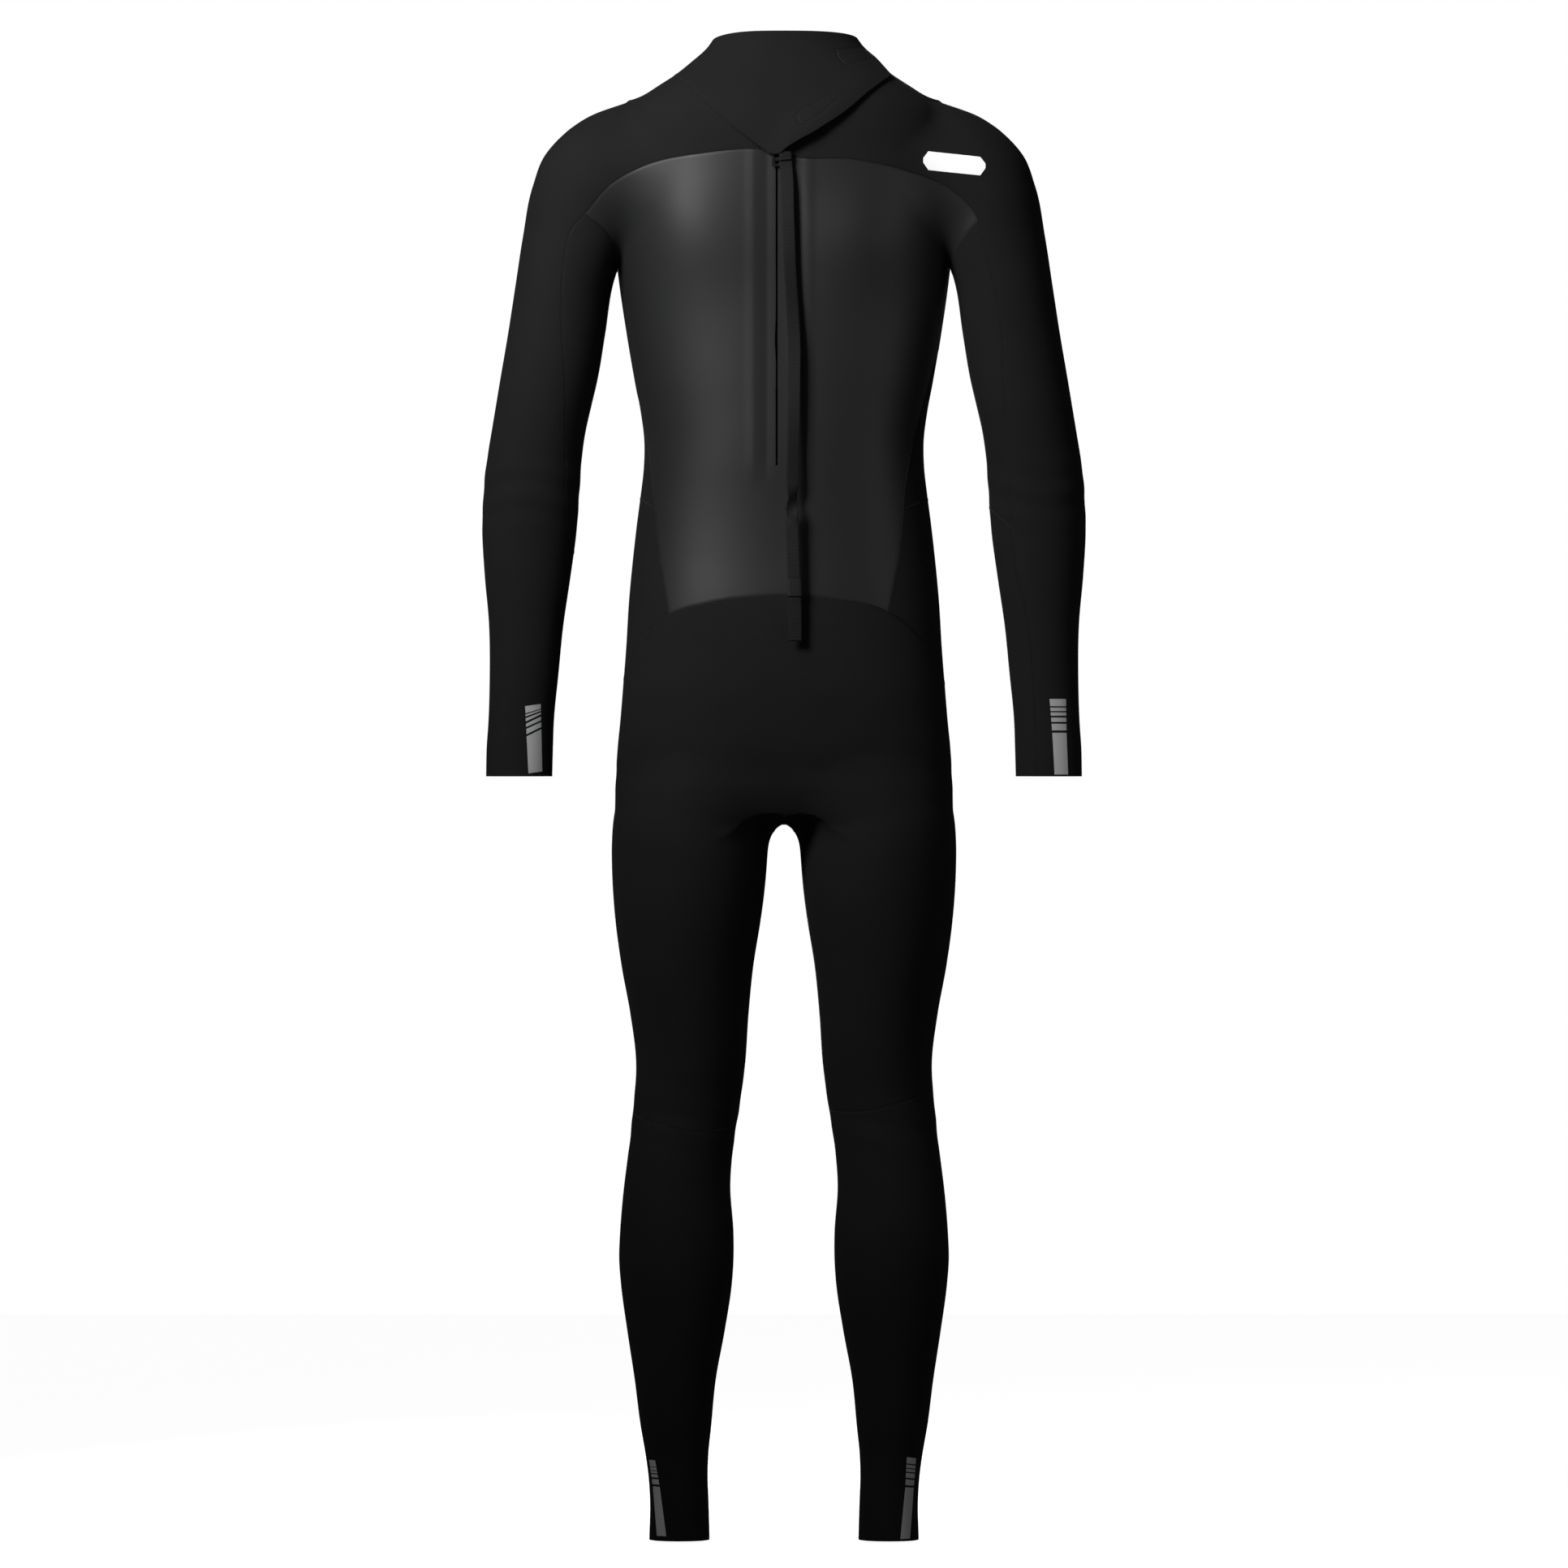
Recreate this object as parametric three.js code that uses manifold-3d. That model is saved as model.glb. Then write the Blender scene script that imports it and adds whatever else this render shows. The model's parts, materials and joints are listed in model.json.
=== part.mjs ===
// A full wetsuit with a back zip, 4 mm on the body and 3 mm on the limbs, empty but in its worn shape.
// Frame: +Z up, -Y the back with the zip, +X the wearer's right, z = 0 at the ankle hems. Millimetres.
import * as THREE from "three";
import { mergeVertices } from "three/addons/utils/BufferGeometryUtils.js";
import Module from "manifold-3d";

const wasm = await Module();
wasm.setup();

// Driving dimensions of the garment
const INSEAM = 690;
const TRUNK_LENGTH = 767;
const SLEEVE_LENGTH = 489;
const CHEST_WIDTH = 322;
const CHEST_DEPTH = 213;
const BODY_WALL = 4;
const LIMB_WALL = 3;
const SEAM_GAP = 0.3;
const COLLAR_FRONT_DROP = 14;

// Bending zones and joints
const ELBOW_HEIGHT = 1015;
const ELBOW_HALF_ZONE = 65;
const KNEE_HEIGHT = 405;
const KNEE_HALF_ZONE = 75;

// Zip
const ZIP_X = -7;
const ZIP_SLIT = 3;
const TOOTH_PITCH = 12;
const CHAIN_WIDTH = 7;
const CHAIN_THICKNESS = 2.6;
const TAPE_WIDTH = 13;
const ZIP_BED = 1.2;
const HEM_BED = 1.9;
const TAPE_THICKNESS = 0.6;
const SLIDER_LENGTH = 16;
const SLIDER_WIDTH = 9;
const SLIDER_PLATE = 1.8;
const SLIDER_NECK = 4.5;
const SLIDER_CLEARANCE = 0.4;
const BRIDGE_RISE = 3;
const TAB_WIDTH = 9;
const TAB_LENGTH = 19;
const TAB_THICKNESS = 1;
const STOP_LENGTH = 4;
const STOP_BED = 0.8;
const STOP_START = 1.4;
const BACKING_WIDTH = 61;
const BACKING_THICKNESS = 2;

// Neck closure
const FLAP_WALL = 2;
const FLAP_STANDOFF = 8;
const PATCH_THICKNESS = 0.9;
const COLLAR_INSET = 2.4;
const FOLD_X = -14;
const FOLD_HALF_ZONE = 14;

// Lanyard and prints
const WEBBING_WIDTH = 12;
const WEBBING_THICKNESS = 1.4;
const KEEPER_LENGTH = 16;
const END_TAB_LENGTH = 36;
const PRINT_THICKNESS = 0.3;

// The pattern is drafted for one size and graded to the dimensions above.
const DRAFT = { inseam: 690, trunk: 767, sleeve: 489, width: 322, depth: 213, armpit: 1227 };
const across = (x) => (x * CHEST_WIDTH) / DRAFT.width;
const deep = (y) => (y * CHEST_DEPTH) / DRAFT.depth;
const aboveCrotch = (z) => INSEAM + ((z - DRAFT.inseam) * TRUNK_LENGTH) / DRAFT.trunk;
const onBody = (z) => (z < DRAFT.inseam ? (z * INSEAM) / DRAFT.inseam : aboveCrotch(z));
const belowArmpit = (z) => onBody(DRAFT.armpit) - ((DRAFT.armpit - z) * SLEEVE_LENGTH) / DRAFT.sleeve;
const onSleeve = (z) => (z < DRAFT.armpit ? belowArmpit(z) : onBody(z));
const COLLAR_TOP = onBody(1457);
const WRIST = onSleeve(738);
const CROTCH = onBody(690);
const ELBOW = onSleeve(ELBOW_HEIGHT);
const KNEE = onBody(KNEE_HEIGHT);
const ZIP_FOOT = onBody(1038);
const ZIP_HEAD = onBody(1354);

// Body measurements: height, half width, back, front
const TRUNK = [
  [690, 120, -40, 35],
  [702, 140, -66, 58],
  [722, 156, -88, 76],
  [760, 163, -106, 90],
  [820, 156.5, -113, 97],
  [910, 150, -107, 100],
  [985, 141, -101.4, 99],
  [1038, 135.2, -100, 99],
  [1120, 144.4, -97.8, 106],
  [1227, 161.2, -95, 118],
  [1290, 170, -93.3, 114],
  [1341, 168, -92, 98],
  [1365, 161, -91.4, 86],
  [1385, 151, -90, 74],
  [1400, 132, -81, 67],
  [1417, 105, -69, 62],
  [1430, 89, -63, 60],
  [1442, 75.5, -60.5, 60],
  [1457, 65, -58, 62],
];
// Limb measurements: height, outer side, inner side, back, front
const ARM = [
  [738, 288.8, 224.3, -18, 48],
  [838, 285.1, 218.2, -24, 44],
  [885, 285.7, 213.5, -30, 44],
  [932, 289.7, 206.5, -38, 44],
  [979, 292, 200.2, -46, 46],
  [1026, 289.7, 197, -53, 45],
  [1073, 282.6, 191.5, -57, 47],
  [1120, 274.8, 180.6, -60, 50],
  [1214, 259.8, 165.6, -62, 54],
  [1309, 244, 135, -62, 54],
  [1342, 232, 120, -56, 48],
  [1367, 209, 110, -44, 38],
  [1379, 187, 105, -34, 30],
  [1390, 156, 100, -22, 18],
];
const LEG = [
  [0, 130.3, 72, -44, 36],
  [60, 131, 73.8, -44, 34],
  [107, 138.2, 70.6, -50, 35],
  [178, 148.4, 61.2, -62, 40],
  [249, 157.8, 50.2, -72, 45],
  [296, 158.6, 48.7, -74, 48],
  [367, 151.5, 51, -66, 56],
  [410, 146, 44.5, -62, 62],
  [461, 142.9, 37.7, -68, 68],
  [531, 153, 33, -82, 78],
  [602, 163.3, 22, -96, 86],
  [673, 168, 11.8, -104, 88],
  [745, 161, 5, -98, 82],
];

// Solids
function solidOf(geometry) {
  geometry.deleteAttribute("normal");
  geometry.deleteAttribute("uv");
  const merged = mergeVertices(geometry, 1e-4);
  const triVerts = new Uint32Array(merged.index.array);
  const vertProperties = merged.attributes.position.array;
  return new wasm.Manifold(new wasm.Mesh({ numProp: 3, vertProperties, triVerts }));
}

function block(x0, x1, y0, y1, z0, z1) {
  const box = new THREE.BoxGeometry(x1 - x0, y1 - y0, z1 - z0);
  return solidOf(box.translate((x0 + x1) / 2, (y0 + y1) / 2, (z0 + z1) / 2));
}

// A flat outline in x and z, drawn through the garment from y0 to y1
function prism(outline, y0, y1) {
  const shape = new THREE.Shape(outline.map(([x, z]) => new THREE.Vector2(x, z)));
  const extruded = new THREE.ExtrudeGeometry(shape, { depth: y1 - y0, bevelEnabled: false });
  return solidOf(extruded.rotateX(Math.PI / 2).translate(0, y1, 0));
}

function curve(points, steps) {
  const spline = new THREE.SplineCurve(points.map(([x, z]) => new THREE.Vector2(x, z)));
  return spline.getPoints(steps).map((p) => [p.x, p.y]);
}

// A blade of the seam gap's width along a curve
function blade(path, y0, y1, width = SEAM_GAP) {
  const sides = [[], []];
  path.forEach(([x, z], i) => {
    const [xa, za] = path[Math.max(i - 1, 0)];
    const [xb, zb] = path[Math.min(i + 1, path.length - 1)];
    const length = Math.hypot(xb - xa, zb - za);
    const nx = (-(zb - za) / length) * (width / 2);
    const nz = ((xb - xa) / length) * (width / 2);
    sides[0].push([x + nx, z + nz]);
    sides[1].unshift([x - nx, z - nz]);
  });
  return prism([...sides[0], ...sides[1]], y0, y1);
}

const profileOf = (rows, height) =>
  new THREE.CubicInterpolant(
    rows.map((row) => height(row[0])),
    rows.flatMap((row) => [across(row[1]), across(row[2]), deep(row[3]), deep(row[4])]),
    4,
    new Float32Array(4),
  );
const trunkProfile = profileOf(
  TRUNK.map(([z, half, back, front]) => [z, half, -half, back, front]),
  onBody,
);
const armProfile = profileOf(ARM, onSleeve);
const legProfile = profileOf(LEG, onBody);
const evenly = (t) => t;
const denseAtTop = (t) => Math.sin((t * Math.PI) / 2);
const denseAtEnds = (t) => (1 - Math.cos(t ** 0.85 * Math.PI)) / 2;

// A closed tube through the measurements of one limb, inset by the wall
function tube({ profile, side, low, high, around, rings, fullness, spacing, inset, lean }) {
  const geometry = new THREE.CylinderGeometry(1, 1, 1, around, rings);
  const place = geometry.attributes.position;
  const rounded = (v) => Math.sign(v) * Math.abs(v) ** (2 / fullness);
  for (let i = 0; i < place.count; i++) {
    const z = low + (high - low) * spacing(place.getY(i) + 0.5);
    const reach = Math.round(Math.hypot(place.getX(i), place.getZ(i)));
    const step = Math.round((Math.atan2(place.getX(i), place.getZ(i)) * around) / (2 * Math.PI));
    const angle = (((step + around) % around) * 2 * Math.PI) / around;
    const c = rounded(Math.sin(angle));
    const s = rounded(Math.cos(angle));
    const from = profile.parameterPositions[0];
    const to = profile.parameterPositions[profile.parameterPositions.length - 1];
    const at = Math.min(Math.max(z + (lean ? lean(z) : 0), from), to);
    const [outer, inner, back, front] = profile.evaluate(at);
    const x0 = (side * (outer + inner)) / 2 + (reach * c * (outer - inner)) / 2;
    const wall = typeof inset === "function" ? inset(x0, z) : inset;
    const x = (side * (outer + inner)) / 2 + reach * c * ((outer - inner) / 2 - wall);
    const y = (back + front) / 2 - reach * s * ((front - back) / 2 - wall);
    place.setXYZ(i, x, y, z);
  }
  return solidOf(geometry);
}

const smooth = (a, b, v) => THREE.MathUtils.smoothstep(v, a, b);
// Where the surface slopes, the inside is taken from a little further along the body
const trunkLean = (wall) => (z) =>
  wall * (smooth(onBody(1300), onBody(1365), z) - 1 + smooth(onBody(740), onBody(860), z));
const sleeveLean = (wall) => (z) => wall * smooth(onBody(1300), onBody(1365), z);

// Every tube runs past its hem and is trimmed there
const OVERRUN = 10;
const trunkTube = (inset, wall = 0) =>
  tube({
    profile: trunkProfile,
    side: 1,
    low: CROTCH + wall,
    high: COLLAR_TOP + OVERRUN,
    around: 28,
    rings: 17,
    fullness: 2.4,
    spacing: denseAtEnds,
    inset,
    lean: trunkLean(wall),
  });
const armTube = (side, inset) =>
  tube({
    profile: armProfile,
    side,
    low: WRIST - OVERRUN,
    high: onBody(1390) - Math.max(inset, 0),
    around: 12,
    rings: 11,
    fullness: 2.1,
    spacing: denseAtTop,
    inset,
    lean: sleeveLean(Math.max(inset, 0)),
  });
const legTube = (side, inset) =>
  tube({
    profile: legProfile,
    side,
    low: -OVERRUN,
    high: onBody(745),
    around: 14,
    rings: 10,
    fullness: 2.1,
    spacing: evenly,
    inset,
  });
const bodyForm = (inset) =>
  trunkTube(inset)
    .add(armTube(-1, inset))
    .add(armTube(1, inset))
    .add(legTube(-1, inset))
    .add(legTube(1, inset));

const FAR = 400;
const inside = trunkTube(BODY_WALL, BODY_WALL)
  .add(armTube(-1, LIMB_WALL))
  .add(armTube(1, LIMB_WALL))
  .add(legTube(-1, LIMB_WALL))
  .add(legTube(1, LIMB_WALL));
const armsFrom = across(200);
const hems = block(-FAR, FAR, -FAR, FAR, -4 * OVERRUN, 0)
  .add(block(-FAR, -armsFrom, -FAR, FAR, WRIST - 4 * OVERRUN, WRIST))
  .add(block(armsFrom, FAR, -FAR, FAR, WRIST - 4 * OVERRUN, WRIST));
const backRim = trunkProfile.evaluate(COLLAR_TOP)[2];
const frontRim = trunkProfile.evaluate(COLLAR_TOP)[3];
const rimSlope = COLLAR_FRONT_DROP / (frontRim - backRim);
const rimCut = new THREE.BoxGeometry(FAR, 2 * FAR, FAR);
rimCut.translate(0, 0, FAR / 2);
rimCut.rotateX(-Math.atan(rimSlope));
rimCut.translate(0, backRim, COLLAR_TOP - 0.5);
const rim = solidOf(rimCut);
const shell = bodyForm(0).subtract(inside).subtract(rim).subtract(hems);

// Seams, drafted as points across and up
const trunkSeam = (points, steps) => curve(points.map(([x, z]) => [across(x), onBody(z)]), steps);
const sleeveSeam = (points, steps) => curve(points.map(([x, z]) => [across(x), onSleeve(z)]), steps);
const through = [-FAR, FAR];
const backOnly = [-FAR, 0.1];
const frontOnly = [-0.1, FAR];

const LEFT_TIP = [-191, 1280];
const RIGHT_TIP = [187, 1274];
const yokeSeam = [
  LEFT_TIP,
  [-168, 1307],
  [-136, 1325],
  [-79, 1337],
  [-7, 1338],
  [6, 1334],
  [67, 1331],
  [120, 1320],
  [161, 1303],
  [181, 1284],
  RIGHT_TIP,
];
const leftArmpitSeam = [LEFT_TIP, [-168, 1258], [-162.5, 1242], [-161.7, 1228], [-162, 1205]];
const rightArmpitSeam = [RIGHT_TIP, [173, 1258], [164, 1242], [162.5, 1228], [162, 1205]];
const leftSleeveSeam = [
  LEFT_TIP,
  [-204, 1266],
  [-212, 1229],
  [-214, 1181],
  [-211, 1128],
  [-210, 1053],
  [-205, 960],
  [-197, 935],
];
const rightSleeveSeam = [
  RIGHT_TIP,
  [194, 1246],
  [203, 1209],
  [210, 1169],
  [212, 1115],
  [216, 1046],
  [224, 935],
  [233, 899],
  [243, 797],
  [244, 730],
];
const rightElbowSeam = [[190, 1007], [204, 993], [223.5, 974]];
const leftPanelSide = [[-155, 1160], [-136, 1082], [-128, 1033], [-124, 996], [-119, 948], [-110, 892]];
const rightPanelSide = [
  [160, 1187],
  [147, 1143],
  [133, 1094],
  [122.5, 1053],
  [116, 1013],
  [111.5, 960],
  [98.5, 894],
];
const leftHipSeam = [[-109, 899], [-122, 840], [-145, 786]];
const rightHipSeam = [[98, 900], [116, 842], [145, 786]];
const leftWaistSeam = [[-148, 1012], [-135, 1004], [-121, 994]];
const rightWaistSeam = [[110, 993], [126, 1000], [148, 1010]];
const chestHem = [[-124, 996], [-60, 984], [0, 980], [60, 984], [115, 995]];
const seatSeam = [
  [-164, 806],
  [-154, 835],
  [-138, 869],
  [-112, 894],
  [-75, 905],
  [2, 913],
  [47, 909],
  [100, 896.5],
  [131, 871],
  [151, 838],
  [164, 806],
];
const leftLegSeam = [[-164, 806], [-120, 768], [-60, 720], [-8, 682]];
const rightLegSeam = leftLegSeam.map(([x, z]) => [-x, z]);
const leftKneeSeam = [[-156, 416], [-142, 410], [-116, 402], [-87.5, 396], [-61.5, 397.5], [-34, 401]];
const rightKneeSeam = [[34, 413], [47, 414], [82, 416], [106, 422], [128, 428], [156, 442]];
const leftCollarSeam = [[-114, 1426], [-105, 1417], [-79, 1392], [-54, 1367], [-35, 1352], [-4, 1337]];
const rightCollarSeam = [[114, 1426], [105, 1417], [79, 1392], [54, 1367], [35, 1352], [-4, 1337]];
const frontCollarSeam = [
  [-114, 1426],
  [-100, 1412],
  [-75, 1392],
  [0, 1371],
  [75, 1392],
  [100, 1412],
  [114, 1426],
];

const halfGap = SEAM_GAP / 2;
const slitHalf = ZIP_SLIT / 2;
const level = (z, x0, x1) => block(x0, x1, -FAR, FAR, z - halfGap, z + halfGap);
const sideCut = (x0, x1, z0, z1) => block(x0, x1, -halfGap, halfGap, z0, z1);
const armInner = across(176);
const blades = [
  blade(trunkSeam(yokeSeam, 20), ...through),
  blade(trunkSeam(leftArmpitSeam, 6), ...through),
  blade(trunkSeam(rightArmpitSeam, 6), ...through),
  blade(sleeveSeam(leftSleeveSeam, 12), ...through),
  blade(sleeveSeam(rightSleeveSeam, 15), ...through),
  blade(sleeveSeam(rightElbowSeam, 2), ...through),
  blade(trunkSeam(leftPanelSide, 10), ...through),
  blade(trunkSeam(rightPanelSide, 10), ...through),
  blade(trunkSeam(leftHipSeam, 6), ...frontOnly),
  blade(trunkSeam(rightHipSeam, 6), ...frontOnly),
  blade(trunkSeam(leftWaistSeam, 3), ...through),
  blade(trunkSeam(rightWaistSeam, 3), ...through),
  blade(trunkSeam(chestHem, 8), ...frontOnly),
  blade(trunkSeam(seatSeam, 18), ...backOnly),
  blade(trunkSeam(leftLegSeam, 8), ...frontOnly),
  blade(trunkSeam(rightLegSeam, 8), ...frontOnly),
  blade(trunkSeam(leftKneeSeam, 8), ...backOnly),
  blade(trunkSeam(rightKneeSeam, 8), ...backOnly),
  blade(trunkSeam(leftCollarSeam, 10), ...backOnly),
  blade(trunkSeam(rightCollarSeam, 10), ...backOnly),
  blade(trunkSeam(frontCollarSeam, 12), ...frontOnly),
  block(ZIP_X - slitHalf, ZIP_X + slitHalf, -FAR, 0, ZIP_FOOT - 2, COLLAR_TOP + 20),
  block(-halfGap, halfGap, 0, FAR, onBody(1325), onBody(1371)),
  sideCut(across(-175), across(175), -1, onBody(852)),
  sideCut(across(-176), across(-100), onBody(1055), onBody(1275)),
  sideCut(across(100), across(176), onBody(1105), onBody(1275)),
  level(KNEE - KNEE_HALF_ZONE, -FAR, FAR),
  level(KNEE + KNEE_HALF_ZONE, -FAR, FAR),
  level(ELBOW - ELBOW_HALF_ZONE, -FAR, -armInner),
  level(ELBOW + ELBOW_HALF_ZONE, -FAR, -armInner),
  level(ELBOW - ELBOW_HALF_ZONE, armInner, FAR),
  level(ELBOW + ELBOW_HALF_ZONE, armInner, FAR),
];
const panels = shell.subtract(wasm.Manifold.union(blades)).decompose();

// Each panel is found by a needle pushed through its middle, from the back or from the front
function panelAt(x, z, fromBack) {
  const half = 0.5;
  const needle = block(x - half, x + half, fromBack ? -FAR : 0, fromBack ? 0 : FAR, z - half, z + half);
  return panels.find((panel) => panel.intersect(needle).volume() > 0);
}
const bodyPanel = (x, z, fromBack = true) => panelAt(across(x), onBody(z), fromBack);
const sleevePanel = (x, z) => panelAt(across(x), onSleeve(z), true);

// Materials
const jersey = new THREE.MeshStandardMaterial({ color: 0x17181a, roughness: 0.85, metalness: 0 });
const smoothSkin = new THREE.MeshStandardMaterial({ color: 0x37383a, roughness: 0.55, metalness: 0 });
const webbingBlack = new THREE.MeshStandardMaterial({ color: 0x141414, roughness: 0.9, metalness: 0 });
const zipPlastic = new THREE.MeshStandardMaterial({ color: 0x101010, roughness: 0.4, metalness: 0 });
const zipMetal = new THREE.MeshStandardMaterial({ color: 0x2a2a2c, roughness: 0.35, metalness: 0.8 });
const hookBlack = new THREE.MeshStandardMaterial({ color: 0x1a1a1a, roughness: 0.95, metalness: 0 });
const greyPrint = new THREE.MeshStandardMaterial({ color: 0x8a8a8a, roughness: 0.5, metalness: 0 });
const whitePrint = new THREE.MeshStandardMaterial({ color: 0xf0f0f0, roughness: 0.6, metalness: 0 });

const suit = new THREE.Group();

function geometryOf(solid) {
  const { numProp, numVert, vertProperties, triVerts } = solid.getMesh();
  const corners = new Float32Array(numVert * 3);
  for (let i = 0; i < numVert; i++) {
    corners.set(vertProperties.subarray(i * numProp, i * numProp + 3), i * 3);
  }
  const geometry = new THREE.BufferGeometry();
  geometry.setAttribute("position", new THREE.BufferAttribute(corners, 3));
  geometry.setIndex(new THREE.BufferAttribute(triVerts, 1));
  return geometry;
}

function add(name, solid, material, parent = suit) {
  const mesh = new THREE.Mesh(geometryOf(solid), material);
  mesh.name = name;
  parent.add(mesh);
}

// Panels of the trunk
add("back_panel", bodyPanel(-60, 1200), smoothSkin);
add("chest_panel", bodyPanel(60, 1200, false), smoothSkin);
add("front_panel", bodyPanel(0, 860, false), jersey);
add("left_upper_side_panel", bodyPanel(-132, 1030), jersey);
add("right_upper_side_panel", bodyPanel(130, 1050), jersey);
add("left_lower_side_panel", bodyPanel(-137, 930), jersey);
add("right_lower_side_panel", bodyPanel(137, 930), jersey);
add("seat_panel", bodyPanel(-60, 800), jersey);

// Sleeves
add("left_yoke_sleeve", sleevePanel(-235, 1200), jersey);
add("right_yoke_sleeve", sleevePanel(235, 1200), jersey);
add("left_underarm_panel", sleevePanel(-195, 1150), jersey);
add("right_underarm_panel", sleevePanel(195, 1150), jersey);
add("left_elbow_outer", sleevePanel(-250, 1015), jersey);
add("right_elbow_outer", sleevePanel(250, 1015), jersey);
add("left_elbow_inner", sleevePanel(-203, 1030), jersey);
add("right_elbow_inner_upper", sleevePanel(207, 1030), jersey);
add("right_elbow_inner_lower", sleevePanel(214, 968), jersey);
add("left_forearm", sleevePanel(-250, 850), jersey);
add("right_forearm_outer", sleevePanel(262, 850), jersey);
add("right_forearm_inner", sleevePanel(226, 850), jersey);

// Legs
for (const [side, sign] of [["left", -1], ["right", 1]]) {
  add(side + "_thigh_front", bodyPanel(sign * 95, 560, false), jersey);
  add(side + "_knee_back_upper", bodyPanel(sign * 95, 450), jersey);
  add(side + "_knee_back_lower", bodyPanel(sign * 95, 370), jersey);
  add(side + "_knee_pad", bodyPanel(sign * 95, 405, false), jersey);
  add(side + "_calf_panel", bodyPanel(sign * 104, 200), jersey);
  add(side + "_shin_panel", bodyPanel(sign * 104, 200, false), jersey);
}

// Collar: a ring split at the zip, thinned on the right where the flap closes over it
const flapRight = [
  [12, 1350],
  [33, 1360],
  [67.5, 1384],
  [79, 1400],
  [96, 1413],
  [102, 1418],
  [102, 1470],
];
const graded = (points) => points.map(([x, z]) => [across(x), onBody(z)]);
const FLAP_WRAP = 6;
const underFlap = graded([[-6, 1330], [130, 1330], [130, 1475], [-6, 1475]]);
const overlapZone = prism(underFlap, -FAR, FLAP_WRAP + 1);
const leftNeck = graded([[-130, 1330], [-4, 1330], [-4, 1475], [-130, 1475]]);
const leftNeckZone = prism(leftNeck, -FAR, SEAM_GAP);
const inner = trunkTube(COLLAR_INSET);
const collarRing = bodyPanel(0, 1425, false).subtract(overlapZone.subtract(inner)).subtract(leftNeckZone);
add("collar", collarRing, jersey);

// The neck panel rises from its seam to the fold, and the flap runs on over the right of the collar
const flapLift = (x, z) => {
  const edge = onBody(1348) + 0.45 * Math.max(x, 0);
  return FLAP_STANDOFF * Math.exp(-(((x - 4) / 42) ** 2)) * Math.exp(-(((z - edge) / 24) ** 2));
};
const rise = (x) => (FLAP_WALL + SEAM_GAP) * smooth(across(-75), across(-20), x);
const overSkin = (x, z) => -rise(x) - flapLift(x, z);
const underSkin = (x, z) => overSkin(x, z) + FLAP_WALL;
const neckLayer = trunkTube(overSkin).subtract(trunkTube(underSkin)).subtract(rim);
const foldLow = FOLD_X - FOLD_HALF_ZONE;
const foldHigh = FOLD_X + FOLD_HALF_ZONE;
const seamOnLeft = trunkSeam(leftCollarSeam, 10);
const aboveTheRim = onBody(1475);
const flapFoot = onBody(1346);
const closing = [[across(60), flapFoot], [across(60), aboveTheRim], [across(-114), aboveTheRim]];
const aboveLeftSeam = prism([...seamOnLeft, ...closing], -FAR, 0);
const seamBlade = blade(seamOnLeft, -FAR, 0.1, 2 * SEAM_GAP);
const neckBack = neckLayer.intersect(aboveLeftSeam).subtract(seamBlade);
const flapLeft = foldHigh + SEAM_GAP;
const flapOutline = [...graded(flapRight), [flapLeft, onBody(1470)], [flapLeft, flapFoot]];
const flapZone = prism(flapOutline, -FAR, FLAP_WRAP);
const panelZone = block(-FAR, foldLow - SEAM_GAP, -FAR, 0, 0, aboveTheRim);
add("neck_panel", neckBack.intersect(panelZone), jersey);
const foldZone = block(foldLow, foldHigh, -FAR, 0, flapFoot, aboveTheRim);
add("flap_fold", neckBack.intersect(foldZone), jersey);
add("neck_closure_flap", neckLayer.intersect(flapZone), jersey);

// Hook patches under the flap and the loop patch on the collar
const skinLayer = (outer, thickness) =>
  trunkTube(outer)
    .subtract(trunkTube((x, z) => outer(x, z) + thickness))
    .subtract(rim);
const hookLayer = skinLayer((x, z) => overSkin(x, z) + FLAP_WALL + SEAM_GAP, PATCH_THICKNESS);
const loopLayer = skinLayer(() => COLLAR_INSET - SEAM_GAP - PATCH_THICKNESS, PATCH_THICKNESS);
const upperHook = [[48, 1437], [75, 1440], [82, 1428], [57, 1421]];
const lowerHook = [[10, 1373], [42, 1391], [53, 1387], [17, 1360]];
const loopPatch = [
  [8, 1358],
  [22, 1358],
  [60, 1388],
  [84, 1412],
  [84, 1432],
  [75, 1444],
  [44, 1441],
  [8, 1380],
];
const hooksZone = (points) => prism(graded(points), -FAR, 0);
add("hook_patch_upper", hookLayer.intersect(hooksZone(upperHook)), hookBlack);
add("hook_patch_lower", hookLayer.intersect(hooksZone(lowerHook)), hookBlack);
add("loop_patch", loopLayer.intersect(hooksZone(loopPatch)), hookBlack);

// Zip, in its own frame: z up the chain from its foot, -y out of the back, x across
const skinAt = (z) => trunkProfile.evaluate(z)[2];
const zipLean = Math.atan2(skinAt(ZIP_HEAD) - skinAt(ZIP_FOOT), ZIP_HEAD - ZIP_FOOT);
const zip = new THREE.Group();
zip.position.set(ZIP_X, skinAt(ZIP_FOOT), ZIP_FOOT);
zip.rotation.x = -zipLean;
suit.add(zip);
const zipLength = (ZIP_HEAD - ZIP_FOOT) / Math.cos(zipLean);
const chainTop = zipLength - SLIDER_NECK - SEAM_GAP;
const chainFace = BODY_WALL + ZIP_BED;
const chainBack = chainFace + CHAIN_THICKNESS;
const tapeFace = chainFace + (CHAIN_THICKNESS - TAPE_THICKNESS) / 2;
const halfChain = CHAIN_WIDTH / 2;
const stopFace = chainFace + STOP_BED;

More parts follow.
